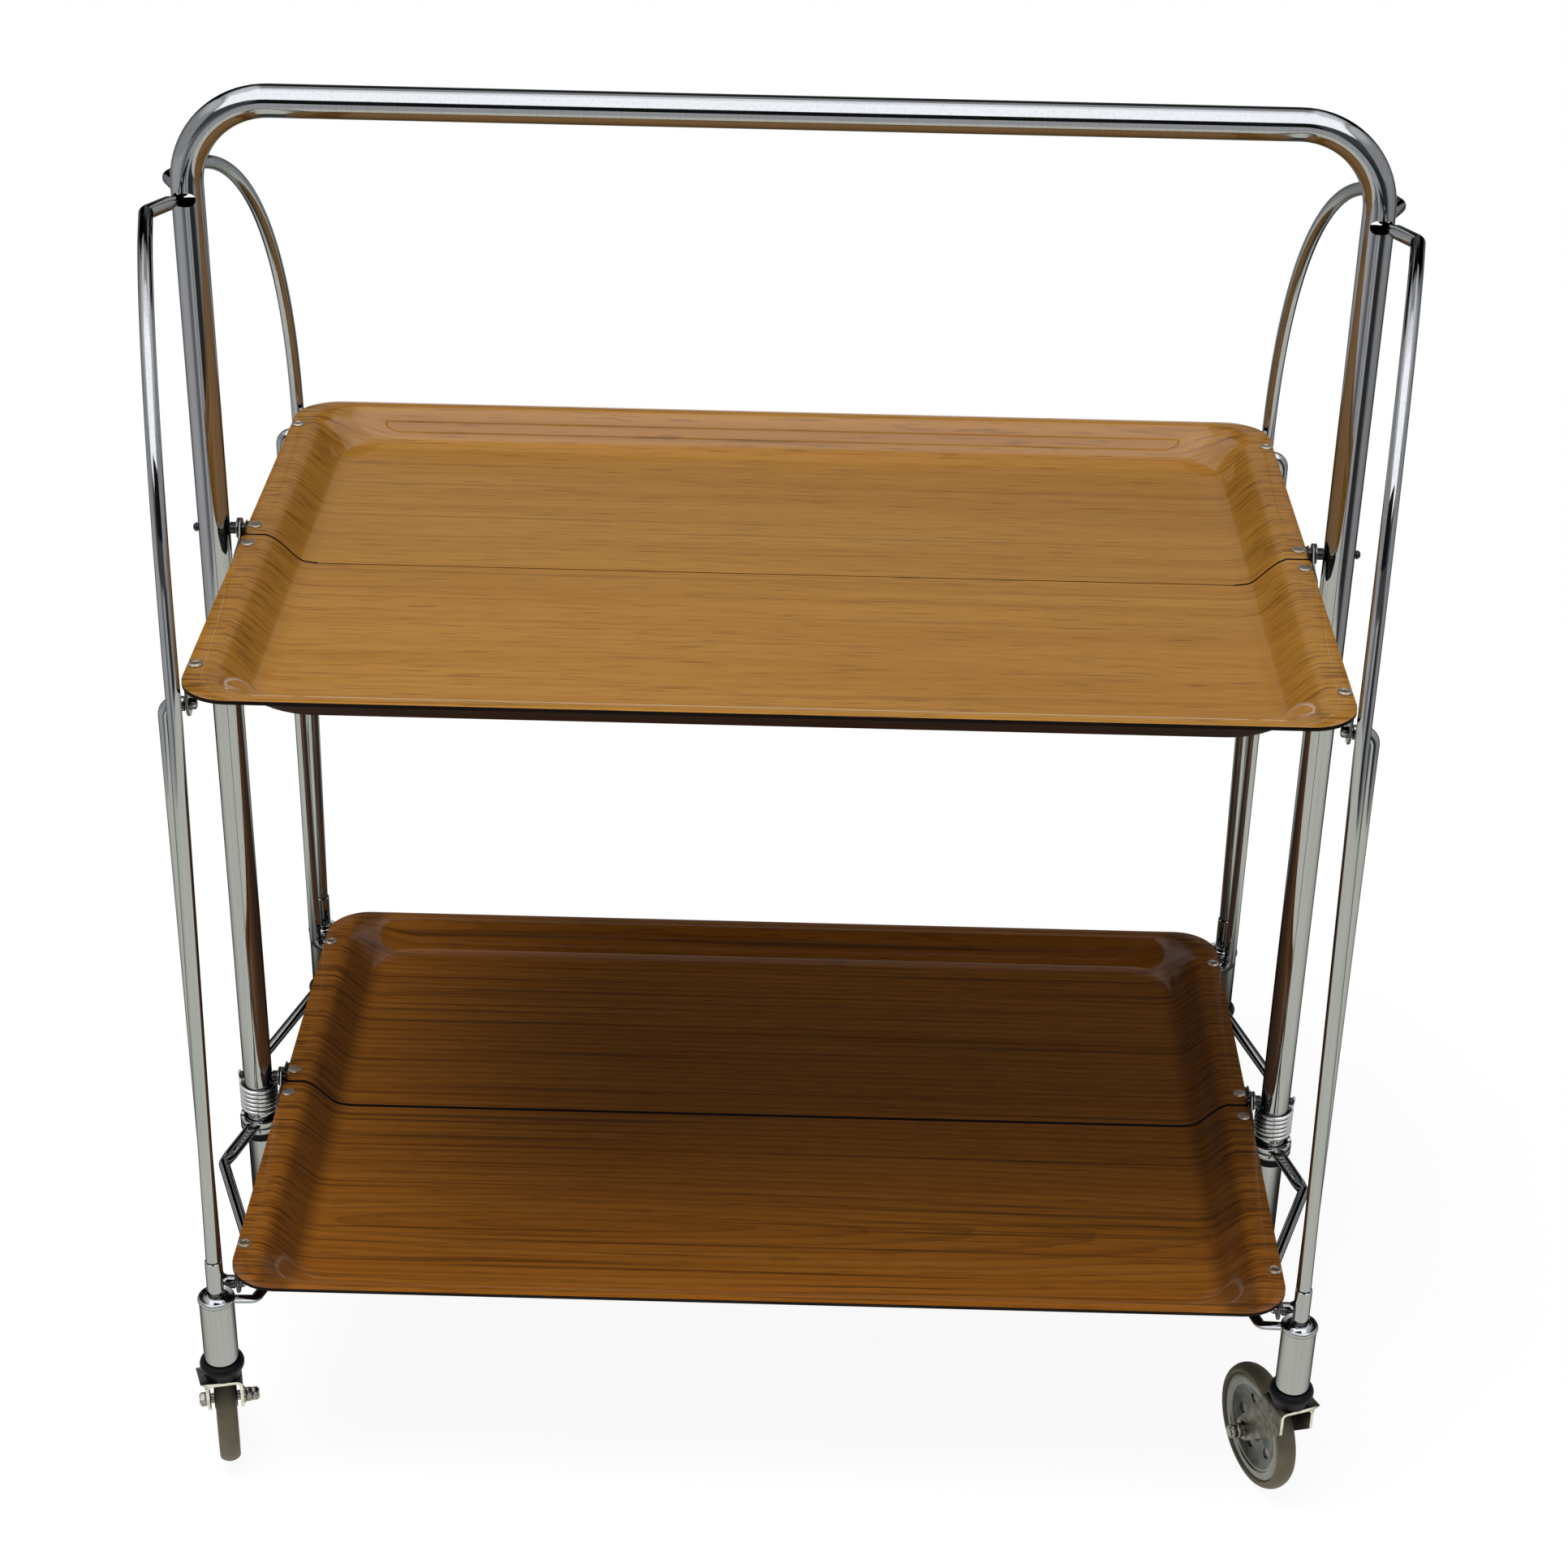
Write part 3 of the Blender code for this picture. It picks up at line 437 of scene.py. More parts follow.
# The sheared edges of the black sheet are rubbed bright: pale steel with fine drag marks.
DRAGS_PER_METRE = (300.0, 300.0, 2500.0)
bare = {"Metallic": 1.0, "Roughness": 0.25}
bare_steel = clouded("bare steel at a sheared edge", "55534E", "8A8882", DRAGS_PER_METRE, 2.0, bare)

pin_profile = raised(UPRIGHT_OUTSIDE, (0.0, 0.0030), (0.0015, 0.0028), (0.0025, 0.0017), (0.0026, 0.0005))
pin_profile += raised(UPRIGHT_OUTSIDE, (PIN_RADIUS, 0.0004))
pin_profile += raised(UPRIGHT_INSIDE - CLEARANCE, (PIN_RADIUS, 0.0), (0.0034, -0.0001))
pin_profile += raised(LEAF_OUTSIDE + CLEARANCE, (0.0034, 0.0), (PIN_RADIUS, -0.0001))
pin_profile += raised(INNER_LEAF - CLEARANCE, (PIN_RADIUS, 0.0), (0.0031, -0.0001))
pin_profile += raised(INNER_LEAF, (0.0027, -0.0018), (0.0, -0.0028))
pin = moved(turned(pin_profile, black_steel, steps=32), Matrix.Rotation(math.pi / 2, 4, "Y"))
for level_name, level in LEVELS.items():
    for name, side in SIDES.items():
        spot = Matrix.Translation((0, 0, level + PIN_RISE)) @ Matrix.Diagonal((side, 1, 1, 1))
        piece(f"{level_name}_{name}_hinge_pin", pin, f"hinge_pin_{level_name}_{name}", spot)


# Trays: each was pressed from thin plywood faced with teak veneer, lacquered to a high gloss and then sawn
# along its middle. The sawn and trimmed edges are stained dark, and the back has a plain dark veneer.

TRAY_DEPTH = 0.416
TRAY_CORNER = 0.027
PAN_DEPTH = 0.0172
PLY = 0.0022
SPLIT = 0.0008
# Width of the strip of face beside the saw cut that takes the stained edge's colour: partly stain, partly
# painted shade of the gap between the halves.
STAIN_AND_GAP_SHADE = {"upper": 0.0006, "lower": 0.0010}
CORNER_STEPS = 12
WALL_STEPS = 4
EASED_EDGE = 0.0003

# Each line of the pressing: half length, half depth, corner radius, drop below the rim
PRESSING = [
    (TRAY_END, TRAY_DEPTH / 2, TRAY_CORNER, 0.0),
    (0.2915, 0.2005, 0.0290, 0.0),
    (0.2870, 0.1975, 0.0310, 0.0022),
    (0.2820, 0.1938, 0.0330, 0.0064),
    (0.2755, 0.1893, 0.0350, 0.0130),
    (0.2710, 0.1858, 0.0350, 0.0160),
    (0.2630, 0.1795, 0.0330, PAN_DEPTH),
]


def eased_rows(steps):
    """The lines of the pressing with smooth ones between them from the inner edge of the lip to the pan."""
    wall = [Vector(row) for row in PRESSING[1:]]
    rows = [Vector(PRESSING[0])]
    for index in range(len(wall) - 1):
        before, start, end, after = (wall[min(max(i, 0), len(wall) - 1)] for i in range(index - 1, index + 3))
        for step in range(steps):
            t = step / steps
            line = 2 * start + (end - before) * t
            curve = (2 * before - 5 * start + 4 * end - after) * t**2
            rows.append(0.5 * (line + curve + (3 * start - before - 3 * end + after) * t**3))
    return rows + [wall[-1]]


def tray_half(facing, stain_and_gap_shade, gap_shade_in_pan):
    """The front half. A strip of its face beside the saw cut takes the stained edge's colour, partly stain and
    partly painted shade of the gap between the halves: on the walls always, and in the pan when told.
    """
    shape = bmesh.new()
    loops = []
    ways = ((1, 1), (-1, 1), (-1, -1), (1, -1))
    for half_length, half_depth, radius, drop in eased_rows(WALL_STEPS):
        verts = [shape.verts.new((x * half_length, y * half_depth, -PIN_RISE - drop)) for x, y in ways]
        for pair in zip(verts, verts[1:] + verts[:1]):
            shape.edges.new(pair)
        known = set(shape.edges) - {edge for vert in verts for edge in vert.link_edges}
        bmesh.ops.bevel(
            shape,
            geom=verts,
            offset=radius,
            segments=CORNER_STEPS,
            profile=0.5,
            affect="VERTICES",
            material=-1,
        )
        loops.append([edge for edge in shape.edges if edge not in known])
    for outer, inner in zip(loops, loops[1:]):
        bmesh.ops.bridge_loops(shape, edges=outer + inner)
    bmesh.ops.contextual_create(shape, geom=loops[-1])
    everything = shape.verts[:] + shape.edges[:] + shape.faces[:]
    bmesh.ops.bisect_plane(
        shape, geom=everything, plane_co=(0, -SPLIT / 2, 0), plane_no=(0, 1, 0), clear_outer=True
    )
    everything = shape.verts[:] + shape.edges[:] + shape.faces[:]
    bmesh.ops.bisect_plane(shape, geom=everything, plane_co=(0, -SPLIT / 2 - stain_and_gap_shade, 0), plane_no=(0, 1, 0))
    bmesh.ops.recalc_face_normals(shape, faces=shape.faces)
    if max(shape.faces, key=lambda face: face.calc_area()).normal.z < 0:
        bmesh.ops.reverse_faces(shape, faces=shape.faces)
    # Faces in the strip beside the cut take the stained edge: stain and painted shade of the gap.
    for face in shape.faces:
        middle = face.calc_center_median()
        on_wall = abs(middle.x) > PRESSING[-1][0] - PRESSING[-1][2]
        face.material_index = 2 * int(middle.y > -SPLIT / 2 - stain_and_gap_shade and (on_wall or gap_shade_in_pan))
    ply = dict(thickness=PLY, offset=-1.0, use_even_offset=True, material_offset=1, material_offset_rim=2)
    edge = dict(width=EASED_EDGE, segments=2, limit_method="ANGLE", angle_limit=math.radians(60))
    return through(mesh_of(shape, facing, backing, ply_edge), ("SOLIDIFY", ply), ("BEVEL", edge))


def teak(name, pale, mid, deep, lines, flame, painted_wall_shade, lacquer, haze):
    """Lacquered teak veneer in three browns.

    The shares say how dark its lines and flame show, how much painted shade darkens its steep end walls and
    how full the lacquer is. The haze is the lacquer's roughness.
    """
    made, tree, shader, place = surface(name)
    ends = node(tree, "SeparateXYZ", {0: place}).outputs[0]
    ends = node(tree, "Math", {0: ends}, operation="ABSOLUTE").outputs[0]

    def toward_ends(share, low, high, start, end):
        """A share times a smooth step between two levels, over two distances from the tray's middle."""
        limits = {"Value": ends, "From Min": low, "From Max": high, "To Min": start, "To Max": end}
        step = node(tree, "MapRange", limits, interpolation_type="SMOOTHSTEP").outputs[0]
        return node(tree, "Math", {0: step, 1: share}, operation="MULTIPLY").outputs[0]

    def streaks(length, width, low, high, share):
        """A share from 0 to that given, in streaks along X of about that length and width in metres."""
        scale = (1 / length, 1 / width, 30.0)
        return ranged_noise(tree, place, scale, 3.0, low, high, 0.0, share, interpolation_type="SMOOTHSTEP")

    heart = {"Vector": place, "Location": (0.12, 1.9, 0.0), "Scale": (1.3, 16.0, 0.6)}
    rings = {"Vector": node(tree, "Mapping", heart).outputs[0], "Scale": 3.2, "Distortion": 5.0}
    rings.update({"Detail": 3.0, "Detail Scale": 0.9})
    drawn = {"wave_type": "RINGS", "rings_direction": "Z", "wave_profile": "SAW"}
    late = {"Value": node(tree, "TexWave", rings, **drawn).outputs[1], "From Min": 0.5, "To Max": flame}
    pore_openings = streaks(0.018, 0.0017, 0.50, 0.66, 0.62)
    layers = [
        (streaks(0.30, 0.014, 0.30, 0.72, 0.8), mid),
        (streaks(0.9, 0.11, 0.35, 0.75, 0.4), deep),
        (node(tree, "MapRange", late).outputs[0], "5C3511"),
        (streaks(0.40, 0.0036, 0.57, 0.66, lines), "4A2A0C"),
        (streaks(0.030, 0.0013, 0.54, 0.70, 0.5), "5C340D"),
        (toward_ends(pore_openings, 0.268, 0.284, 0.0, 1.0), "4A270A"),
        # A band on the steep end walls painted darker: painted shade on the walls.
        (toward_ends(toward_ends(1.0, 0.284, 0.292, 1.0, 0.0), 0.262, 0.274, 0.0, painted_wall_shade), "2E1806"),
    ]
    wood = linear(pale)
    for share, code in layers:
        wood = node(tree, "Mix", {0: share, 6: wood, 7: linear(code)}, data_type="RGBA").outputs[2]
    peel = node(tree, "TexNoise", {"Vector": place, "Scale": 1 / 0.02, "Detail": 1.0}).outputs[0]
    relief = node(tree, "Bump", {"Height": peel, "Strength": 0.12, "Distance": 0.0004}).outputs[0]
    gloss = {"Roughness": 0.6, "Specular IOR Level": 0.1, "Coat Weight": lacquer, "Coat Roughness": haze}
    node(tree, shader, {"Base Color": wood, "Normal": relief, "Coat Normal": relief, **gloss})
    return made


# Teak faces: an orange brown with fine dark pores along the tray. The lower tray's leaf was cut nearer the
# heart, so its lines are longer and darker.
# The end walls carry a faint painted shade on the upper tray and a strong one on the lower.
quiet = {"lines": 0.2, "flame": 0.10, "painted_wall_shade": 0.12, "lacquer": 0.74, "haze": 0.06}
teak_upper = teak("lacquered teak veneer, quiet figure", "B07E35", "A37027", "956122", **quiet)
flamed = {"lines": 0.6, "flame": 0.4, "painted_wall_shade": 0.5, "lacquer": 0.36, "haze": 0.12}
teak_lower = teak("lacquered teak veneer, flame figure", "B47227", "A4621C", "8F5618", **flamed)

# Stained ply edge: end grain soaked with a brown black stain, dull where the saw left it rough.
PLIES_PER_METRE = (60.0, 60.0, 1400.0)
stain = {"Roughness": 0.6, "Specular IOR Level": 0.1}
ply_edge = clouded("stained plywood edge", "0B0604", "1C0F08", PLIES_PER_METRE, 2.0, stain)

# Backing veneer: a cheap dark veneer under a thin coat of lacquer, with open grain along the tray. Its dark
# brown is partly painted shade on the trays' undersides.
BACKING_PER_METRE = (12.0, 520.0, 40.0)
thin_lacquer = {"Roughness": 0.5, "Specular IOR Level": 0.12}
open_grain = (None, 0.3, 0.0002)
backing = clouded(
    "dark backing veneer", "26130A", "432513", BACKING_PER_METRE, 3.0, thin_lacquer, relief=open_grain
)

halves = {
    "upper": tray_half(teak_upper, STAIN_AND_GAP_SHADE["upper"], gap_shade_in_pan=False),
    "lower": tray_half(teak_lower, STAIN_AND_GAP_SHADE["lower"], gap_shade_in_pan=True),
}
for level_name, level in LEVELS.items():
    for half_name, face in (("front", 1), ("back", -1)):
        spot = Matrix.Translation((0, 0, level + PIN_RISE)) @ Matrix.Diagonal((1, face, 1, 1))
        solid = f"{level_name}_tray_{half_name}"
        piece(f"{level_name}_{half_name}_tray_half", halves[level_name], solid, spot)


# Hinge leaves: pressed from 1.2 mm sheet and blackened. An ear turns on the pin, a flange lies beside the
# tray's end, and a tab under the lip is held by one flat rivet.

RIM_TOP = -PIN_RISE
TAB_TOP = RIM_TOP - PLY - CLEARANCE
TAB_INSIDE = 0.2945
EAR_RADIUS = 0.006
HINGE_RIVET = (0.3000, -0.0125)
BEND_RADIUS = 0.0004


def sheet_plate(outline, thickness, axis):
    """A flat sheet from its outline, thin along one axis, with bare edges on the second finish."""
    shape = bmesh.new()
    spots = [(0.0, a, b) if axis == "X" else (a, b, 0.0) for a, b in outline]
    face = shape.faces.new([shape.verts.new(spot) for spot in spots])
    new = bmesh.ops.extrude_face_region(shape, geom=[face])["geom"]
    push = (thickness, 0, 0) if axis == "X" else (0, 0, thickness)
    bmesh.ops.translate(shape, verts=only(new, bmesh.types.BMVert), vec=push)
    bmesh.ops.recalc_face_normals(shape, faces=shape.faces)
    for side in shape.faces:
        side.material_index = int(abs(side.normal.x if axis == "X" else side.normal.z) < 0.5)
    rims = [edge for edge in shape.edges if edge.calc_face_angle(0.0) > math.radians(60)]
    bmesh.ops.bevel(
        shape, geom=rims, offset=BEND_RADIUS, segments=3, profile=0.5, affect="EDGES", material=-1
    )
    return mesh_of(shape, black_steel, bare_steel)


def joined(*meshes):
    """One mesh of several, with the finishes of the first."""
    shape = bmesh.new()
    for mesh in meshes:
        shape.from_mesh(mesh)
    return mesh_of(shape, *meshes[0].materials)


def hinge_leaf(inside):
    """The leaf whose flange has its inner face at this X, with the ear round its pin hole."""
    outline = [(-0.0255, TAB_TOP + 0.0004), (-0.0255, TAB_TOP - SHEET - 0.0012)]
    outline += [(-0.0150, TAB_TOP - 0.0105), (-0.0060, TAB_TOP - 0.0118), (-0.0030, TAB_TOP - 0.0090)]
    outline += arc((0, 0), EAR_RADIUS, -98, 128, 18)
    outline += [(-0.0080, TAB_TOP + 0.0040), (-0.0120, TAB_TOP + 0.0022)]
    flange = moved(sheet_plate(outline, SHEET, "X"), Matrix.Translation((inside, 0, 0)))
    root = inside + SHEET * 0.5
    tab_outline = [(root, -0.0246), (root, -0.0040), (TAB_INSIDE + 0.0020, -0.0040)]
    tab_outline += [(TAB_INSIDE, -0.0060), (TAB_INSIDE, -0.0200), (TAB_INSIDE + 0.0040, -0.0246)]
    tab = moved(sheet_plate(tab_outline, SHEET, "Z"), Matrix.Translation((0, 0, TAB_TOP - SHEET)))
    hole = cylinder(PIN_HOLE, (inside - 0.01, 0, 0), (inside + 0.01, 0, 0))
    return joined(cut(flange, hole), tab)


# Rivets: a low domed head on the hinge leaves, and a tubular one, rolled round its open middle, at the
# corners.
RIVET_SHANK = 0.0018
dull_steel = clouded(
    "dull tinned rivet steel", "857A69", "ADA392", 500.0, 4.0, {"Metallic": 0.8, "Roughness": 0.38}
)

seat = RIM_TOP + CLEARANCE
shank_foot = TAB_TOP - SHEET * 0.5
shank = [(RIVET_SHANK, seat), (RIVET_SHANK, shank_foot), (0.0, shank_foot)]
flat_profile = raised(seat, (0.0, 0.0010), (0.0028, 0.0009), (0.0036, 0.0007), (0.0040, 0.0002))
flat_profile += [(0.0039, seat)] + shank
flat_rivet = moved(turned(flat_profile, dull_steel, steps=32), Matrix.Translation((*HINGE_RIVET, 0)))

leaves = {"front": hinge_leaf(INNER_LEAF), "back": hinge_leaf(OUTER_LEAF)}
for level_name, level in LEVELS.items():
    for corner, (side, face) in CORNERS.items():
        solid = f"hinge_leaf_{level_name}_{corner}"
        spot = Matrix.Translation((0, 0, level + PIN_RISE)) @ Matrix.Diagonal((side, face, 1, 1))
        piece(f"{level_name}_{corner}_hinge_leaf", leaves[corner.split("_")[0]], solid, spot)
        piece(f"{level_name}_{corner}_hinge_rivet", flat_rivet, solid, spot, stands_for_it=False)


# Corner brackets: blackened sheet riveted under the rim, each with an ear that a strut hooks into.

EAR_INSIDE = 0.3003
STRUT_DROP = 0.014
STRUT_X = 0.314
STRUT_Y = 0.185
SPIGOT_RADIUS = 0.003
STRUT_AXIS = RIM_TOP - STRUT_DROP
CORNER_RIVET = (0.3002, -0.1675)
HOOK_ROOM = 0.0005
RIVET_MOUTH = 0.0016

ear_outline = [(-STRUT_Y - 0.0070, TAB_TOP)] + arc((-STRUT_Y, STRUT_AXIS), 0.0065, 180, 360, 18)
ear_outline += [(-STRUT_Y + 0.0090, TAB_TOP)]
ear = moved(sheet_plate(ear_outline, SHEET * 1.25, "X"), Matrix.Translation((EAR_INSIDE, 0, 0)))
near, far = ((EAR_INSIDE + reach, -STRUT_Y, STRUT_AXIS) for reach in (-0.01, 0.01))
hook_hole = cylinder(SPIGOT_RADIUS + HOOK_ROOM, near, far)
tab_outline = [(EAR_INSIDE + SHEET, -0.1920), (EAR_INSIDE + 0.0030, -0.1860), (EAR_INSIDE + 0.0030, -0.1625)]
tab_outline += [(EAR_INSIDE + 0.0010, -0.1600), (TAB_INSIDE + 0.0020, -0.1600)]
tab_outline += [(TAB_INSIDE, -0.1630), (TAB_INSIDE, -0.1920)]
tab = moved(sheet_plate(tab_outline, SHEET, "Z"), Matrix.Translation((0, 0, TAB_TOP - SHEET)))
bracket = joined(cut(ear, hook_hole), tab)

tube_profile = raised(seat, (0.0, -0.0012), (0.0014, -0.0012), (0.0015, 0.0002), (0.0021, 0.0010))
tube_profile += raised(seat, (0.0030, 0.0012), (0.0037, 0.0008), (0.0040, 0.0002), (0.0039, 0.0))
tube_profile += shank
tube_rivet = turned(tube_profile, dull_steel, hollow_shade_steel, steps=36)
# The open middle takes the near-black finish: painted shade in the rivet's hole.
for polygon in tube_rivet.polygons:
    middle = polygon.center
    polygon.material_index = int(math.hypot(middle.x, middle.y) < RIVET_MOUTH and middle.z > seat - 0.0013)
tube_rivet.transform(Matrix.Translation((*CORNER_RIVET, 0)))

for level_name, level in LEVELS.items():
    for corner, (side, face) in CORNERS.items():
        solid = f"corner_bracket_{level_name}_{corner}"
        spot = Matrix.Translation((0, 0, level + PIN_RISE)) @ Matrix.Diagonal((side, face, 1, 1))
        piece(f"{level_name}_{corner}_bracket", bracket, solid, spot)
        piece(f"{level_name}_{corner}_corner_rivet", tube_rivet, solid, spot, stands_for_it=False)


# Struts: chromed bars of 8 mm, bent in at both ends and turned down to hook into the corner brackets.

STRUT_RADIUS = 0.004


def rounded_route(corners, radius, steps):
    """The corner points of a bent bar with every inner corner rounded to an arc."""
    corners = [Vector(corner) for corner in corners]
    route = [corners[0]]
    for before, corner, after in zip(corners, corners[1:], corners[2:]):
        inward, outward = (before - corner).normalized(), (after - corner).normalized()
        half_angle = inward.angle(outward) / 2
        centre = corner + (inward + outward).normalized() * radius / math.sin(half_angle)
        start = corner + inward * radius / math.tan(half_angle) - centre
        end = corner + outward * radius / math.tan(half_angle) - centre
        route += [centre + start.slerp(end, step / steps) * start.length for step in range(steps + 1)]
    return route + [corners[-1]]


def swept(route, radii, *finishes, sides=20):
    """A round bar along a route, with one radius for each point and closed ends."""
    legs = [(after - before).normalized() for before, after in zip(route, route[1:])]
    headings = [legs[0]] + [(a + b).normalized() for a, b in zip(legs, legs[1:])] + [legs[-1]]
    shape = bmesh.new()
    start = Vector((0, 0, 1)).rotation_difference(headings[0]).to_matrix().to_4x4()
    bmesh.ops.create_circle(
        shape, cap_ends=True, segments=sides, radius=radii[0], matrix=Matrix.Translation(route[0]) @ start
    )
    ring = shape.edges[:]
    for index in range(1, len(route)):
        turn = headings[index - 1].rotation_difference(headings[index]).to_matrix().to_4x4()
        grow = Matrix.Scale(radii[index] / radii[index - 1], 4)
        step = Matrix.Translation(route[index]) @ turn @ grow @ Matrix.Translation(-route[index - 1])
        ring = extruded(shape, ring, step)
    bmesh.ops.contextual_create(shape, geom=ring)
    bmesh.ops.recalc_face_normals(shape, faces=shape.faces)
    return mesh_of(shape, *finishes)


drop = UPPER_RIM - LOWER_RIM
shoulder = EAR_INSIDE + 0.0026
tip = EAR_INSIDE - 0.0032
hook = [Vector((x, 0, 0)) for x in (tip, tip + 0.0008, shoulder, shoulder + 0.0005)]
elbow = rounded_route([(shoulder + 0.0007, 0, 0), (STRUT_X, 0, 0), (STRUT_X, 0, -drop / 2)], 0.0065, 8)
upper_end = hook + elbow[1:-1]
route = upper_end + [Vector((point.x, 0, -drop - point.z)) for point in reversed(upper_end)]
end_radii = [SPIGOT_RADIUS - 0.0008, SPIGOT_RADIUS, SPIGOT_RADIUS] + [STRUT_RADIUS] * (len(upper_end) - 3)
strut = swept(route, end_radii + end_radii[::-1], chrome)
for corner, (side, face) in CORNERS.items():
    height = UPPER_RIM + PIN_RISE + STRUT_AXIS
    spot = Matrix.Translation((0, -face * STRUT_Y, height)) @ Matrix.Diagonal((side, face, 1, 1))
    piece(f"{corner}_side_strut", strut, f"strut_{corner}", spot)


# Leg rods: chromed bars of 8 mm. A thin tip sits in the hoop's slot, an elbow turns the rod outward, a long
# sweep carries it past the tray's corner, and a ferrule ends it in the caster tube.

ROD_RADIUS = 0.004
ROD_TIP_RADIUS = 0.0025
LEG_X = 0.311
LEG_Y = 0.203
CASTER_TUBE_TOP = 0.139
ROD_BEND = Vector((0.3375, -0.0310, SLOT_HEIGHT))
ROD_SHOULDER = Vector((0.3058, -0.1999, 0.506))
ROD_FULLNESS = 2.27
FERRULE_RADIUS = 0.0048
FERRULE_TOP = 0.1628
SWEEP_STEPS = 40
FIRST_STEP = 4


def sweep_point(step):
    """A point of the quarter of a full ellipse between the elbow and the straight leg."""
    angle = math.pi / 2 * step / SWEEP_STEPS
    out = math.sin(angle) ** (2 / ROD_FULLNESS)
    up = max(0.0, math.cos(angle)) ** (2 / ROD_FULLNESS) if step < SWEEP_STEPS else 0.0
    run = ROD_SHOULDER - ROD_BEND
    return Vector((ROD_BEND.x + run.x * out, ROD_BEND.y + run.y * out, ROD_SHOULDER.z - run.z * up))


rod_tip = Vector((HOOP_HALF_WIDTH + 0.0025, -0.0043, SLOT_HEIGHT))
elbow = rounded_route([rod_tip, ROD_BEND, sweep_point(FIRST_STEP)], 0.0065, 8)
neck = [rod_tip.lerp(ROD_BEND, share) for share in (0.0, 0.05, 0.24, 0.40)]
sweep = [sweep_point(step) for step in range(FIRST_STEP, SWEEP_STEPS + 1)]
foot = [(FERRULE_TOP + 0.0006, ROD_RADIUS), (FERRULE_TOP + 0.0005, ROD_RADIUS - 0.0003)]
foot += [(FERRULE_TOP, ROD_RADIUS - 0.0003), (FERRULE_TOP - 0.0001, FERRULE_RADIUS - 0.0003)]
foot += [(FERRULE_TOP - 0.0004, FERRULE_RADIUS), (CASTER_TUBE_TOP + CLEARANCE, FERRULE_RADIUS)]
route = neck + elbow[1:-1] + sweep + [Vector((LEG_X, -LEG_Y, height)) for height, _ in foot]
radii = [ROD_TIP_RADIUS - 0.0007, ROD_TIP_RADIUS, ROD_TIP_RADIUS + 0.0004]
radii += [ROD_RADIUS] * (len(route) - len(radii) - len(foot)) + [radius for _, radius in foot]
leg = swept(route, radii, chrome, hollow_shade_steel, sides=24)
# The groove above the ferrule takes the near-black finish: painted shade in the groove.
for polygon in leg.polygons:
    polygon.material_index = int(FERRULE_TOP < polygon.center.z < FERRULE_TOP + 0.0005)
for corner, (side, face) in CORNERS.items():
    piece(f"{corner}_leg_rod", leg, f"leg_rod_{corner}", Matrix.Diagonal((side, face, 1, 1)))


# Caster tubes: chromed tube with a domed, ringed cap round the rod's ferrule. A bar hooks round behind each
# one, runs out to a corner and ends beaten flat, with an eye round the hoop's leg.

CASTER_TUBE_FOOT = 0.093
CASTER_TUBE_RADIUS = 0.010
ARM_RADIUS = 0.0034
ARM_JOIN_HEIGHT = 0.1345
EYE_HEIGHTS = {"front": 0.121, "back": 0.1165}
EYE_THICKNESS = 0.004
EYE_Y = -0.011
ARM_CORNER_RUN = 0.046
ARM_CORNER_RISE = 0.25
BEATEN_FROM = -0.058
BEATEN_RUN = 0.012
BEATEN_WIDER = 0.0013
BEATEN_THINNER = 0.56
PRESSED_FROM = -0.184
PRESSED_RUN = 0.008
PRESSED_THINNER = 0.5

tube_bore = CASTER_TUBE_RADIUS - 0.0014
tube_profile = raised(
    CASTER_TUBE_TOP,
    *[(0.0, 0.0), (0.0052, 0.0), (0.0060, -0.0002), (0.0069, -0.0008), (0.0077, -0.0017), (0.0081, -0.0021)],
    *[(0.0085, -0.0019), (0.0090, -0.0011), (0.0096, -0.0008), (0.0102, -0.0011), (0.0106, -0.0019)],
    *[(0.0107, -0.0028), (0.0106, -0.0036), (0.0103, -0.0042), (CASTER_TUBE_RADIUS, -0.0045)],
)
tube_profile += raised(CASTER_TUBE_FOOT, (CASTER_TUBE_RADIUS, 0.0002), (CASTER_TUBE_RADIUS - 0.0002, 0.0))
tube_profile += [(tube_bore, CASTER_TUBE_FOOT)] + raised(CASTER_TUBE_TOP, (tube_bore, -0.008), (0.0, -0.008))
caster_tube = moved(turned(tube_profile, chrome), Matrix.Translation((LEG_X, -LEG_Y, 0)))


def spaced(route, gap):
    """The route with more points wherever two lie further apart than the gap."""
    points = []
    for start, end in zip(route, route[1:]):
        count = max(1, math.ceil((end - start).length / gap))
        points += [start.lerp(end, step / count) for step in range(count)]
    return points + [route[-1]]


def beaten_share(y):
    """How far the bar is beaten flat at this Y, from 0 on the round bar to 1 near the eye."""
    share = min(1.0, max(0.0, (y - BEATEN_FROM) / BEATEN_RUN))
    return share * share * (3 - 2 * share)


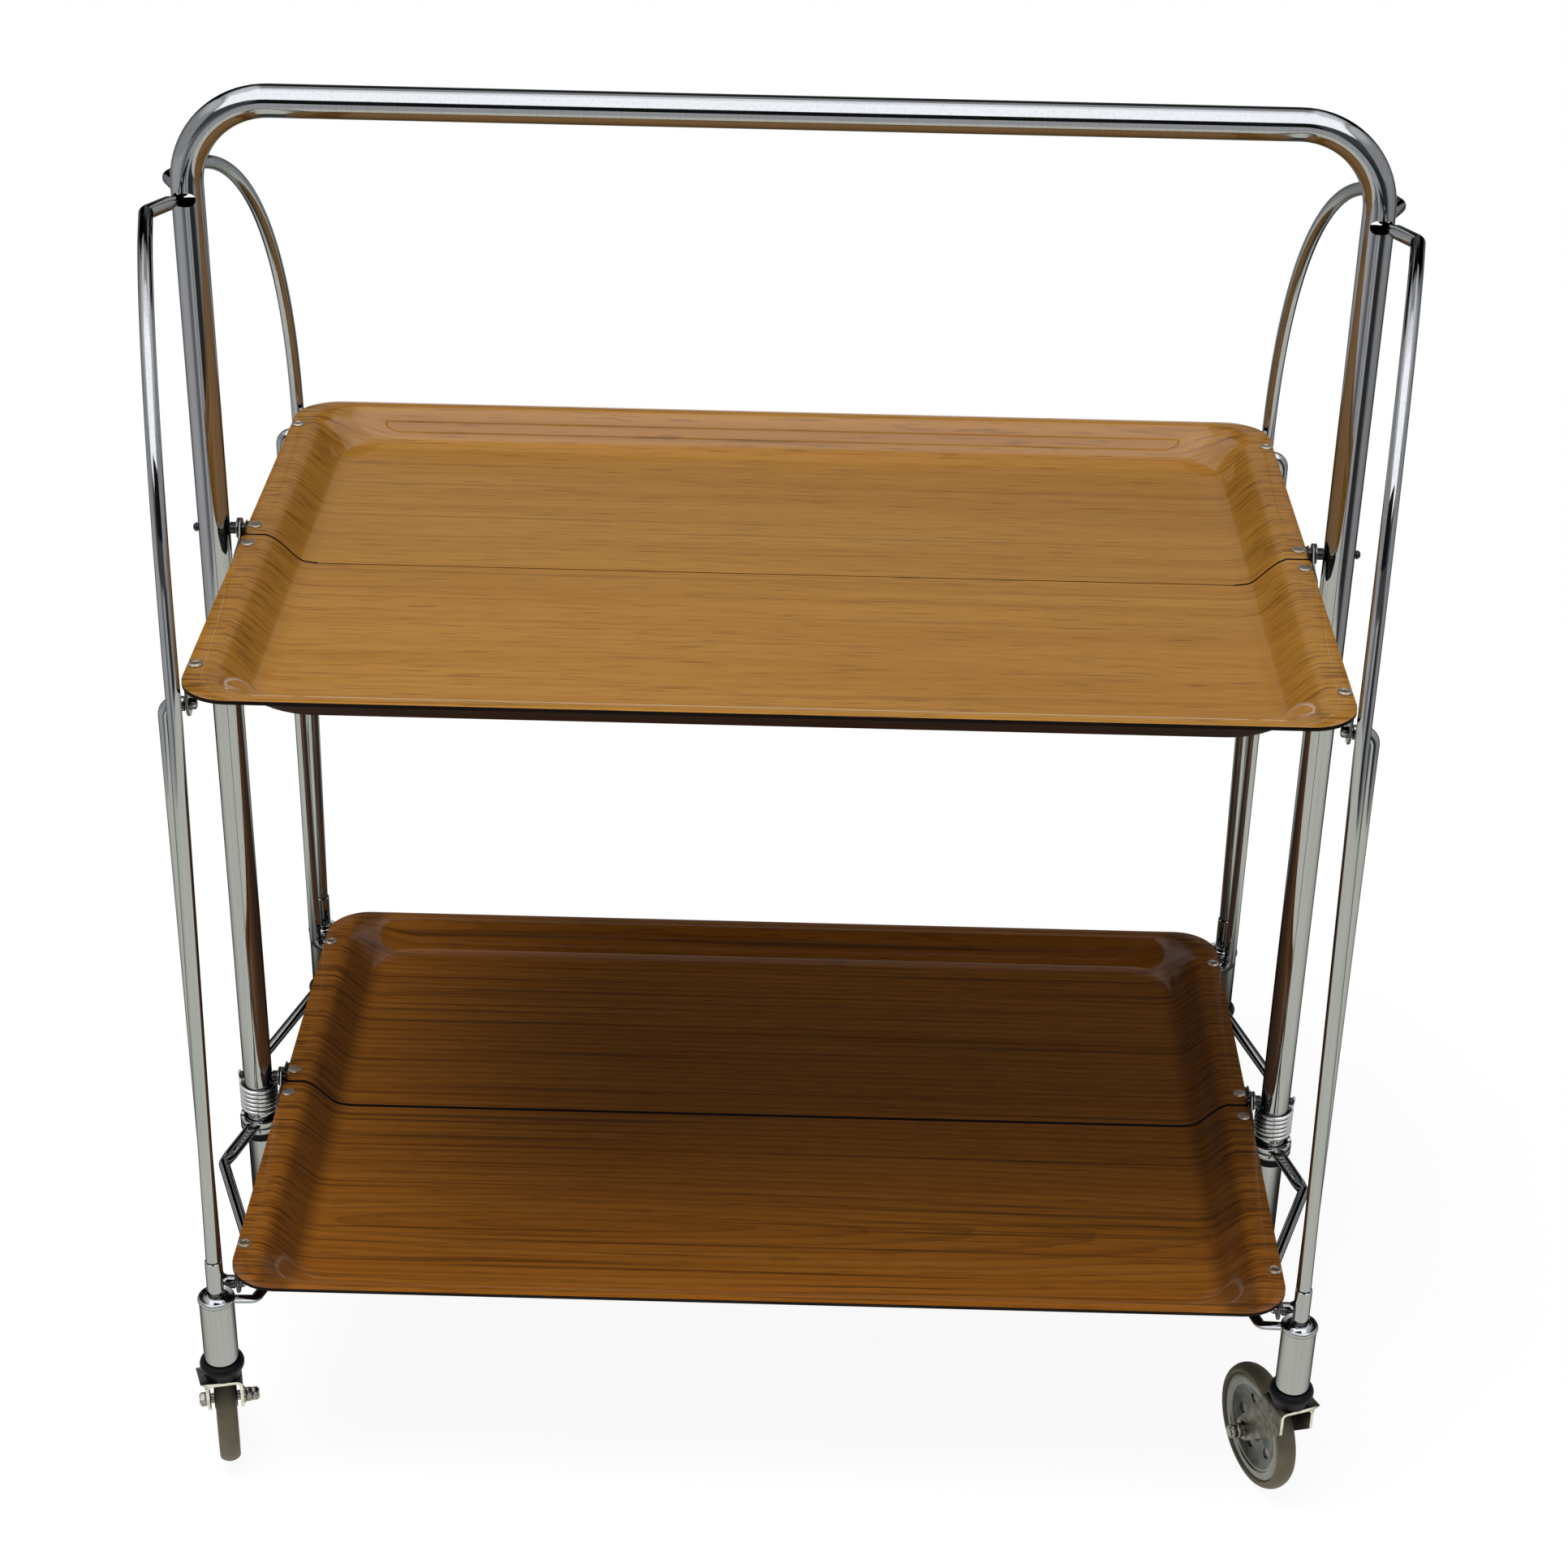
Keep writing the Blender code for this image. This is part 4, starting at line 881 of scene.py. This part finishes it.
def lower_arm(eye_height):
    """The bar from its eye on the hoop's leg to its flattened hook round the caster tube, and the eye."""
    rise = ARM_JOIN_HEIGHT - eye_height
    eye_end = (0.3235, EYE_Y, eye_height)
    corner = (0.3340, -0.0570, eye_height + rise * ARM_CORNER_RISE)
    inner = (0.2862, -0.1920, ARM_JOIN_HEIGHT)
    hook_start = (0.2890, -0.2010, ARM_JOIN_HEIGHT)
    hook_end = (0.3030, -0.2015, ARM_JOIN_HEIGHT)
    outer = rounded_route([eye_end, corner, inner], 0.006, 8)[:-1]
    hook = rounded_route([corner, inner, hook_start, hook_end], 0.0035, 8)[1:]
    route = spaced(outer + hook, 0.004)
    radii = [ARM_RADIUS + BEATEN_WIDER * beaten_share(point.y) for point in route]
    bar = swept(route, radii, chrome)
    for vert in bar.vertices:
        share = min(1.0, max(0.0, (EYE_Y - vert.co.y) / ARM_CORNER_RUN))
        level = eye_height + rise * ARM_CORNER_RISE * share
        vert.co.z = level + (vert.co.z - level) * (1 - BEATEN_THINNER * beaten_share(vert.co.y))
        pressed = min(1.0, max(0.0, (PRESSED_FROM - vert.co.y) / PRESSED_RUN))
        vert.co.z = ARM_JOIN_HEIGHT + (vert.co.z - ARM_JOIN_HEIGHT) * (1 - PRESSED_THINNER * pressed)
    half_eye = EYE_THICKNESS / 2
    inside, outside = HOOP_RADIUS + 0.0004, 0.0130
    profile = [(inside, eye_height + half_eye), (outside, eye_height + half_eye)]
    profile += [(outside, eye_height - half_eye), (inside, eye_height - half_eye)]
    eye = turned(profile, chrome, ring=True, soften=0.0006)
    return joined(bar, moved(eye, Matrix.Translation((HOOP_HALF_WIDTH, 0, 0))))


for corner, (side, face) in CORNERS.items():
    arm = lower_arm(EYE_HEIGHTS[corner.split("_")[0]])
    mirror = Matrix.Diagonal((side, face, 1, 1))
    piece(f"{corner}_caster_tube_and_arm", joined(caster_tube, arm), f"caster_tube_{corner}", mirror)


# Leg collars: black plastic rings pressed on the hoop's legs, which hold the eyes of the arms up.

COLLAR_RADIUS = 0.0108
COLLAR_HEIGHT = 0.0060

collar_top = EYE_HEIGHTS["back"] - EYE_THICKNESS / 2 - 0.0005
inside = HOOP_RADIUS + CLEARANCE
collar_profile = raised(collar_top, (inside, 0.0), (COLLAR_RADIUS, 0.0), (COLLAR_RADIUS, -COLLAR_HEIGHT))
collar_profile += raised(collar_top, (inside, -COLLAR_HEIGHT))
collar = turned(collar_profile, black_plastic, ring=True, soften=0.0004)
for name, side in SIDES.items():
    spot = Matrix.Translation((side * HOOP_HALF_WIDTH, 0, 0))
    piece(f"{name}_leg_collar", collar, f"leg_collar_{name}", spot)


# Return springs: bright drawn wire of 2.6 mm wound round the hoop's legs in close turns. The top end kicks up
# behind the hinge pin, and the last turn runs down more steeply to the front arm.

SPRING_WIRE = 0.0013
SPRING_RADIUS = 0.0107
SPRING_TOP = 0.1462
SPRING_CLOSE_TURNS = 5.25
SPRING_LAST_TURN = 0.75
SPRING_CLOSE_FOOT = 0.1300
SPRING_FOOT = 0.1248
POINTS_A_TURN = 28

# Bright drawn wire: polished along its length by the die, a little grey beside the chrome.
spring_steel = clouded(
    "bright drawn spring wire", "B4B4B2", "D2D2CF", 700.0, 3.0, {"Metallic": 1.0}, roughness=(0.12, 0.26)
)

turns = SPRING_CLOSE_TURNS + SPRING_LAST_TURN
count = round(POINTS_A_TURN * turns)
coil = []
for step in range(count + 1):
    turn = turns * step / count
    if turn < SPRING_CLOSE_TURNS:
        height = SPRING_TOP + (SPRING_CLOSE_FOOT - SPRING_TOP) * turn / SPRING_CLOSE_TURNS
    else:
        share = (turn - SPRING_CLOSE_TURNS) / (turns - SPRING_CLOSE_TURNS)
        height = SPRING_CLOSE_FOOT + (SPRING_FOOT - SPRING_CLOSE_FOOT) * share
    angle = math.tau * turn
    coil.append(Vector((SPRING_RADIUS * math.cos(angle), -SPRING_RADIUS * math.sin(angle), height)))
last = (coil[-1] - coil[-2]).normalized()
last.z = 0.0
kick = coil[0] + Vector((0.0010, 0.0043, 0.0016))
kicked = rounded_route([kick + Vector((0.0014, 0.0020, 0.0034)), kick, coil[0]], 0.002, 6)
route = kicked[:-1] + coil + [coil[-1] + last * 0.0032]
wire = swept(route, [SPRING_WIRE * 0.8] + [SPRING_WIRE] * (len(route) - 1), spring_steel, sides=14)
for name, side in SIDES.items():
    spot = Matrix.Translation((side * HOOP_HALF_WIDTH, 0, 0)) @ Matrix.Diagonal((side, 1, 1, 1))
    piece(f"{name}_return_spring", wire, f"return_spring_{name}", spot)


# Caster sockets: black plastic bushes pressed into the tubes, swelling to a collar that the fork turns under.

FORK_TOP = 0.0812
SOCKET_FOOT = FORK_TOP + CLEARANCE
KINGPIN_RADIUS = 0.0032
KINGPIN_BORE = 0.0036

shoulder = CASTER_TUBE_FOOT - CLEARANCE
inside = tube_bore - CLEARANCE
socket_profile = raised(shoulder, (KINGPIN_BORE, 0.026), (inside, 0.026), (inside, 0.0), (0.0112, 0.0))
socket_profile += raised(shoulder, (0.0124, -0.0010), (0.0129, -0.0026), (0.0128, -0.0044), (0.0122, -0.0062))
socket_profile += raised(shoulder, (0.0113, -0.0074), (0.0111, -0.0090))
socket_profile += [(0.0105, SOCKET_FOOT), (KINGPIN_BORE, SOCKET_FOOT)]
socket = turned(socket_profile, black_plastic, ring=True)
for corner, (side, face) in CORNERS.items():
    spot = Matrix.Translation((side * LEG_X, -face * LEG_Y, 0))
    piece(f"{corner}_socket", socket, f"caster_socket_{corner}", spot)


# Caster forks: zinc-plated sheet of 1.8 mm folded over a flat crown. A king pin turns in the socket, and the
# wheel turns on a hexagon bolt with a washer, a nut and a lock nut.

WHEEL_RADIUS = 0.038
AXLE_RADIUS = 0.003
CASTER_TRAIL = 0.0305
FORK_GAP = 0.0178
STEEL = 0.0018
CASTER_HEADINGS = {"front_left": 103.0, "front_right": 111.0, "back_left": -82.0, "back_right": -96.0}
NUT_RADIUS = 0.0046
LOCK_NUT_RADIUS = 0.0043
WASHER_RADIUS = 0.0052

# Zinc on the sheet has gone dull and dark brown grey. Its sheared edges are near white: a painted highlight
# along them. The bolt and nuts, plated apart from it, have kept more of their shine.
zinc, zinc_edge_highlight, bolt_zinc = (
    clouded(name, low, high, 220.0, 6.0, {"Metallic": 1.0}, sharpen=(0.25, 0.75), roughness=(dull, smooth))
    for name, low, high, dull, smooth in (
        ("oxidised zinc plate", "45403A", "645E56", 0.55, 0.3),
        ("zinc edges, near white as a painted highlight", "B9B5A9", "E0DDD2", 0.45, 0.25),
        ("bright zinc on bolt and nuts", "5E5A52", "96928A", 0.28, 0.14),
    )
)


def hexagon(radius, start, end):
    """A hexagon nut or head along Y through the axle, with its corners eased."""
    mesh = cylinder(radius, (CASTER_TRAIL, start, WHEEL_RADIUS), (CASTER_TRAIL, end, WHEEL_RADIUS), 6)
    shape = bmesh.new()
    shape.from_mesh(mesh)
    bmesh.ops.bevel(
        shape, geom=shape.edges[:], offset=0.0004, segments=2, profile=0.5, affect="EDGES", material=-1
    )
    return mesh_of(shape)


def caster_fork():
    """In the caster's own frame: the wheel trails along +X and the bolt runs along Y."""
    half_gap = FORK_GAP / 2
    top = FORK_TOP - STEEL
    outline = [(-0.0100, top), (-0.0100, 0.0660), (-0.0080, 0.0640)]
    outline += arc((CASTER_TRAIL, WHEEL_RADIUS), 0.0070, -130, 45, 16)
    outline += [(0.0130, top - 0.0018), (0.0110, top)]
    shape = bmesh.new()
    tops = []
    for y in (-half_gap, half_gap):
        verts = [shape.verts.new((x, y, z)) for x, z in outline]
        shape.faces.new(verts)
        tops.append(shape.edges.get((verts[0], verts[-1])))
    bmesh.ops.bridge_loops(shape, edges=tops)
    bmesh.ops.bevel(shape, geom=tops, offset=0.0020, segments=6, profile=0.5, affect="EDGES", material=-1)
    bmesh.ops.recalc_face_normals(shape, faces=shape.faces)
    crown = max(shape.faces, key=lambda face: face.calc_center_median().z)
    if crown.normal.z < 0:
        bmesh.ops.reverse_faces(shape, faces=shape.faces)
    # The sheet's rim faces take the near-white zinc: a painted highlight along the edges.
    folded = through(
        mesh_of(shape, zinc, zinc_edge_highlight, bolt_zinc),
        ("SOLIDIFY", dict(thickness=STEEL, offset=1.0, use_even_offset=True, material_offset_rim=1)),
        ("BEVEL", dict(width=EASED_EDGE, segments=2, limit_method="ANGLE", angle_limit=math.radians(50))),
    )
    edge = half_gap + STEEL

    def across(radius, start, end):
        """A round part of the bolt, between two places along the axle."""
        return cylinder(radius, (CASTER_TRAIL, start, WHEEL_RADIUS), (CASTER_TRAIL, end, WHEEL_RADIUS), 28)

    kingpin = cylinder(KINGPIN_RADIUS, (0, 0, FORK_TOP - STEEL * 0.5), (0, 0, FORK_TOP + 0.030))
    bolt = across(AXLE_RADIUS, -edge - 0.0048, edge + 0.0092)
    washer = across(WASHER_RADIUS, edge - 0.0002, edge + 0.0009)
    head = hexagon(NUT_RADIUS, -edge - 0.0042, -edge + 0.0002)
    nut = hexagon(NUT_RADIUS, edge + 0.0008, edge + 0.0046)
    lock_nut = hexagon(LOCK_NUT_RADIUS, edge + 0.0047, edge + 0.0084)
    fixings = joined(kingpin, bolt, washer, head, nut, lock_nut)
    for polygon in fixings.polygons:
        polygon.material_index = 2
    return joined(folded, fixings)


def swivel(corner):
    """The caster's own frame at one corner."""
    side, face = CORNERS[corner]
    turn = Matrix.Rotation(math.radians(CASTER_HEADINGS[corner]), 4, "Z")
    return Matrix.Translation((side * LEG_X, -face * LEG_Y, 0)) @ turn


fork = caster_fork()
for corner, (side, _) in CORNERS.items():
    piece(f"{corner}_fork", fork, f"caster_fork_{corner}", swivel(corner) @ Matrix.Diagonal((1, side, 1, 1)))


# Wheel hubs: moulded in silver grey plastic, dished between rim and boss, with oval hollows in the dish.

HUB_RADIUS = 0.0325
HUB_WIDTH = 0.0104
DISH = (0.0082, 0.0262)
HOLLOWS = 5
HOLLOW_CIRCLE = 0.0172
HOLLOW_RADIUS = 0.0041
HOLLOW_SQUEEZE = 0.8

# Silver grey moulding: metal flake in the plastic gives it a soft sheen. In the dish the same plastic is
# painted darker and patchy: painted shade in the hollow of the dish.
hub_plastic = clouded(
    "silver grey moulded plastic", "5A5955", "8A8984", 120.0, 5.0, {"Metallic": 0.75, "Roughness": 0.32}
)
dish_gloss = {"Metallic": 0.75, "Roughness": 0.26}
dish_painted_shade = clouded("dish of the hub, painted shade", "131211", "403F3B", 150.0, 6.0, dish_gloss, sharpen=(0.38, 0.62))

half_hub = HUB_WIDTH / 2
bore = AXLE_RADIUS + 0.0004
face_profile = raised(
    half_hub,
    *[(bore, 0.0016), (0.0062, 0.0016), (0.0072, 0.0010), (0.0080, -0.0024), (0.0092, -0.0036)],
    *[(0.0120, -0.0040), (0.0160, -0.0040), (0.0200, -0.0035), (0.0235, -0.0025), (0.0258, -0.0014)],
    *[(0.0268, -0.0012), (0.0276, -0.0002), (0.0286, 0.0), (0.0318, -0.0002), (HUB_RADIUS, -0.0008)],
)
both_faces = face_profile + [(radius, -height) for radius, height in reversed(face_profile)]
hub = turned(both_faces, hub_plastic, dish_painted_shade, steps=72, ring=True)
# Faces in the dish take its darker finish: painted shade in the hollow.
for polygon in hub.polygons:
    polygon.material_index = int(DISH[0] < math.hypot(polygon.center.x, polygon.center.y) < DISH[1])
hollows = []
for index in range(HOLLOWS):
    angle = math.tau * index / HOLLOWS
    turn = Matrix.Rotation(angle, 4, "Z") @ Matrix.Translation((HOLLOW_CIRCLE, 0, 0))
    turn = turn @ Matrix.Diagonal((HOLLOW_SQUEEZE, 1, 1, 1))
    for way in (-1, 1):
        hollow = cylinder(HOLLOW_RADIUS, (0, 0, way * 0.0004), (0, 0, way * 0.008), 24)
        hollows.append(moved(hollow, turn))
hub = moved(cut(hub, *hollows), Matrix.Rotation(math.pi / 2, 4, "X"))
axle = Matrix.Translation((CASTER_TRAIL, 0, WHEEL_RADIUS))
for corner in CORNERS:
    piece(f"{corner}_hub", hub, f"wheel_hub_{corner}", swivel(corner) @ axle)


# Tyres: grey rubber rings with a rounded tread, stretched over the hubs' rims.

WHEEL_WIDTH = 0.012

# Grey rubber: dull, with dust worked into the tread and a fine mould texture on the walls.
GRIT_PER_METRE = 1 / 0.0007
relief = (GRIT_PER_METRE, 0.35, 0.0002)
rubber = clouded("grey rubber, dusty", "5C5443", "8E846D", 90.0, 6.0, {"Roughness": 0.72}, relief=relief)

inner = HUB_RADIUS + CLEARANCE
half_width = WHEEL_WIDTH / 2
crown = raised(half_width, (inner, -0.0012), (0.0332, -0.0003), (0.0339, 0.0), (0.0348, 0.0))
crown += raised(half_width, (0.0358, -0.0005), (0.0368, -0.0017), (0.0375, -0.0032), (0.0379, -0.0046))
crown += raised(half_width, (WHEEL_RADIUS, -0.0056))
tyre = turned(crown + [(radius, -height) for radius, height in reversed(crown)], rubber, steps=96, ring=True)
tyre.transform(Matrix.Rotation(math.pi / 2, 4, "X"))
for corner in CORNERS:
    piece(f"{corner}_tyre_ring", tyre, f"tyre_{corner}", swivel(corner) @ axle)


# Floor and light: a pale floor that keeps a soft shadow, a wide soft lamp above and in front, and a room that
# only the polished pieces see, with a bright window in front and darker walls. In them the floor carries a
# painted shadow underneath the trolley and is painted darker behind it.

FLOOR_RADIUS = 1.25
FLOOR_GAP = 0.0004
FLOOR_GLOW = 0.93
FLOOR_MIRRORED = 1.3
ROOM_GLOW = 0.18

floor_paint, tree, shader, place = surface("pale painted floor")
path = node(tree, "LightPath")
mottle = node(tree, "TexNoise", {"Vector": place, "Scale": 3.0, "Detail": 2.0}).outputs[0]
pale = node(tree, "Mix", {0: mottle, 6: linear("E6E6E4"), 7: linear("EEEEEC")}, data_type="RGBA").outputs[2]
matt = node(tree, "BsdfDiffuse", {"Color": pale}).outputs[0]
glow = node(tree, "Emission", {"Color": (1, 1, 1, 1), "Strength": FLOOR_GLOW}).outputs[0]
across, behind = node(tree, "SeparateXYZ", {0: place}).outputs[:2]
across = node(tree, "Math", {0: across}, operation="ABSOLUTE").outputs[0]


def lights(*patches):
    """The sum of patches of light, each a product of lights and smooth steps.

    A step is given as a value, two limits on it and the levels below and above them.
    """
    total = 0.0
    for factors in patches:
        patch = 1.0
        for factor in factors:
            if isinstance(factor, tuple):
                limits = dict(zip(("Value", "From Min", "From Max", "To Min", "To Max"), factor))
                factor = node(tree, "MapRange", limits, interpolation_type="SMOOTHSTEP").outputs[0]
            patch = node(tree, "Math", {0: patch, 1: factor}, operation="MULTIPLY").outputs[0]
        total = node(tree, "Math", {0: total, 1: patch}, operation="ADD").outputs[0]
    return total


# Seen in the metal, the floor carries a painted shadow under the trolley and is painted darker far behind it.
painted_shadow_under = lights([(behind, -0.18, 0.0, 0.0, 1.0), (behind, 0.35, 0.60, 1.0, 0.0), (across, 0.45, 0.62, 0.92, 0.0)])
beyond = lights([(behind, 0.3, 0.5, 0.0, 0.92), (across, 0.5, 0.8, 0.0, 1.0)])
shade = node(tree, "Math", {0: painted_shadow_under, 1: beyond}, operation="MAXIMUM").outputs[0]
floor_light = node(tree, "MapRange", {"Value": shade, "To Min": FLOOR_MIRRORED, "To Max": 0.0}).outputs[0]
mirrored = node(tree, "Emission", {"Color": linear("EFF1E8"), "Strength": floor_light}).outputs[0]
shadowed = node(tree, "BsdfDiffuse", {"Color": linear("6A6A6A")}).outputs[0]
seen = node(tree, "AddShader", {0: glow, 1: shadowed}).outputs[0]
first = node(tree, "MixShader", {0: path.outputs["Is Camera Ray"], 1: matt, 2: seen}).outputs[0]
rays = {0: path.outputs["Is Glossy Ray"], 1: path.outputs["Is Transmission Ray"]}
in_metal = node(tree, "Math", rays, operation="MAXIMUM").outputs[0]
final = node(tree, "MixShader", {0: in_metal, 1: first, 2: mirrored}).outputs[0]
node(tree, tree.nodes["Material Output"], {"Surface": final})

shape = bmesh.new()
bmesh.ops.create_circle(
    shape, cap_ends=True, segments=96, radius=FLOOR_RADIUS, matrix=Matrix.Translation((0, 0, -FLOOR_GAP))
)
floor = placed("floor", mesh_of(shape, floor_paint))

# Black card: a dark screen in front and above that the polished pieces show. Only they see it.
CARD_PLACE = (0.0, -0.85, 0.93)
CARD_SIZE = (1.0, 1.0, 0.38)
card_cloth, tree, shader, place = surface("black card")
node(tree, shader, {"Base Color": linear("1C1C20"), "Roughness": 0.9})
shape = bmesh.new()
upright = Matrix.Translation(CARD_PLACE) @ Matrix.Diagonal((*CARD_SIZE, 1))
upright = upright @ Matrix.Rotation(math.pi / 2, 4, "X")
bmesh.ops.create_grid(shape, x_segments=1, y_segments=1, size=0.5, matrix=upright)
card = placed("black_card", mesh_of(shape, card_cloth))
card.visible_camera = False
card.visible_diffuse = False
card.visible_shadow = False

world = bpy.data.worlds.new("room")
world.use_nodes = True
bpy.context.scene.world = world
tree = world.node_tree
path = node(tree, "LightPath")
towards = node(tree, "TexCoord").outputs["Generated"]
x, y, z = node(tree, "SeparateXYZ", {0: towards}).outputs
aside = lights([x, x])

# A window in front. At the back a low wall in two parts, a door, the ceiling in two and its corners.
window = lights([(z, 0.36, 0.43, 0.13, 2.8)])
narrow = (aside, 0.05, 0.10, 1.0, 0.0)
back = lights(
    [narrow, (z, 0.14, 0.22, 0.0, 0.26)],
    [narrow, (z, 0.44, 0.49, 0.0, -0.25)],
    [(z, 0.02, 0.11, 1.2, 0.0), (y, 0.74, 0.80, 0.0, 1.0)],
    [(z, 0.68, 0.78, 0.0, 0.65)],
    [(z, 0.92, 0.96, 0.0, 1.4)],
    [(z, 0.56, 0.62, 0.0, 1.0), (aside, 0.05, 0.09, 0.0, 1.0)],
)
above = node(tree, "Mix", {0: lights([(y, -0.12, 0.12, 0.0, 1.0)]), 2: window, 3: back}).outputs[0]
above = lights(
    [above, (aside, 0.36, 0.46, 1.0, 0.0)],
    [(z, 0.4, 0.6, 0.65, 1.2), (aside, 0.38, 0.5, 0.0, 1.0)],
)
below = lights(
    [(x, -0.75, -0.42, 0.85, 0.30)],
    [(x, -0.30, -0.20, 0.0, 0.5)],
    [(x, 0.20, 0.30, 0.0, -0.74)],
    [(x, 0.62, 0.90, 0.0, 0.55)],
)
below = node(tree, "Mix", {0: lights([(y, 0.66, 0.76, 0.0, 1.0)]), 2: below, 3: 1.1}).outputs[0]
room = node(tree, "Mix", {0: lights([(z, -0.06, 0.0, 0.0, 1.0)]), 2: below, 3: above}).outputs[0]
soft = node(tree, "Background", {"Color": linear("FBFBFF"), "Strength": ROOM_GLOW}).outputs[0]
mirrored = node(tree, "Background", {"Color": linear("F6F8FF"), "Strength": room}).outputs[0]
white = node(tree, "Background", {"Color": (1, 1, 1, 1), "Strength": 1.0}).outputs[0]
lit = node(tree, "MixShader", {0: path.outputs["Is Glossy Ray"], 1: soft, 2: mirrored}).outputs[0]
rays = {0: path.outputs["Is Camera Ray"], 1: path.outputs["Is Transmission Ray"]}
seen_through = node(tree, "Math", rays, operation="MAXIMUM").outputs[0]
final = node(tree, "MixShader", {0: seen_through, 1: lit, 2: white}).outputs[0]
node(tree, tree.nodes["World Output"], {"Surface": final})

LAMP_PLACE = Vector((-0.40, -0.50, 2.5))
LAMP_AIM = Vector((0, 0, 0.4))
LAMP_WIDTH = 1.5
LAMP_LENGTH = 1.3
LAMP_WATTS = 44.0
lamp = placed("soft_lamp", bpy.data.lights.new("soft_lamp", "AREA"))
lamp.data.shape = "RECTANGLE"
lamp.data.size = LAMP_WIDTH
lamp.data.size_y = LAMP_LENGTH
lamp.data.energy = LAMP_WATTS
lamp.visible_glossy = False
lamp.location = LAMP_PLACE
lamp.rotation_euler = (LAMP_AIM - LAMP_PLACE).to_track_quat("-Z", "Y").to_euler()

bpy.context.scene.view_settings.view_transform = "Standard"
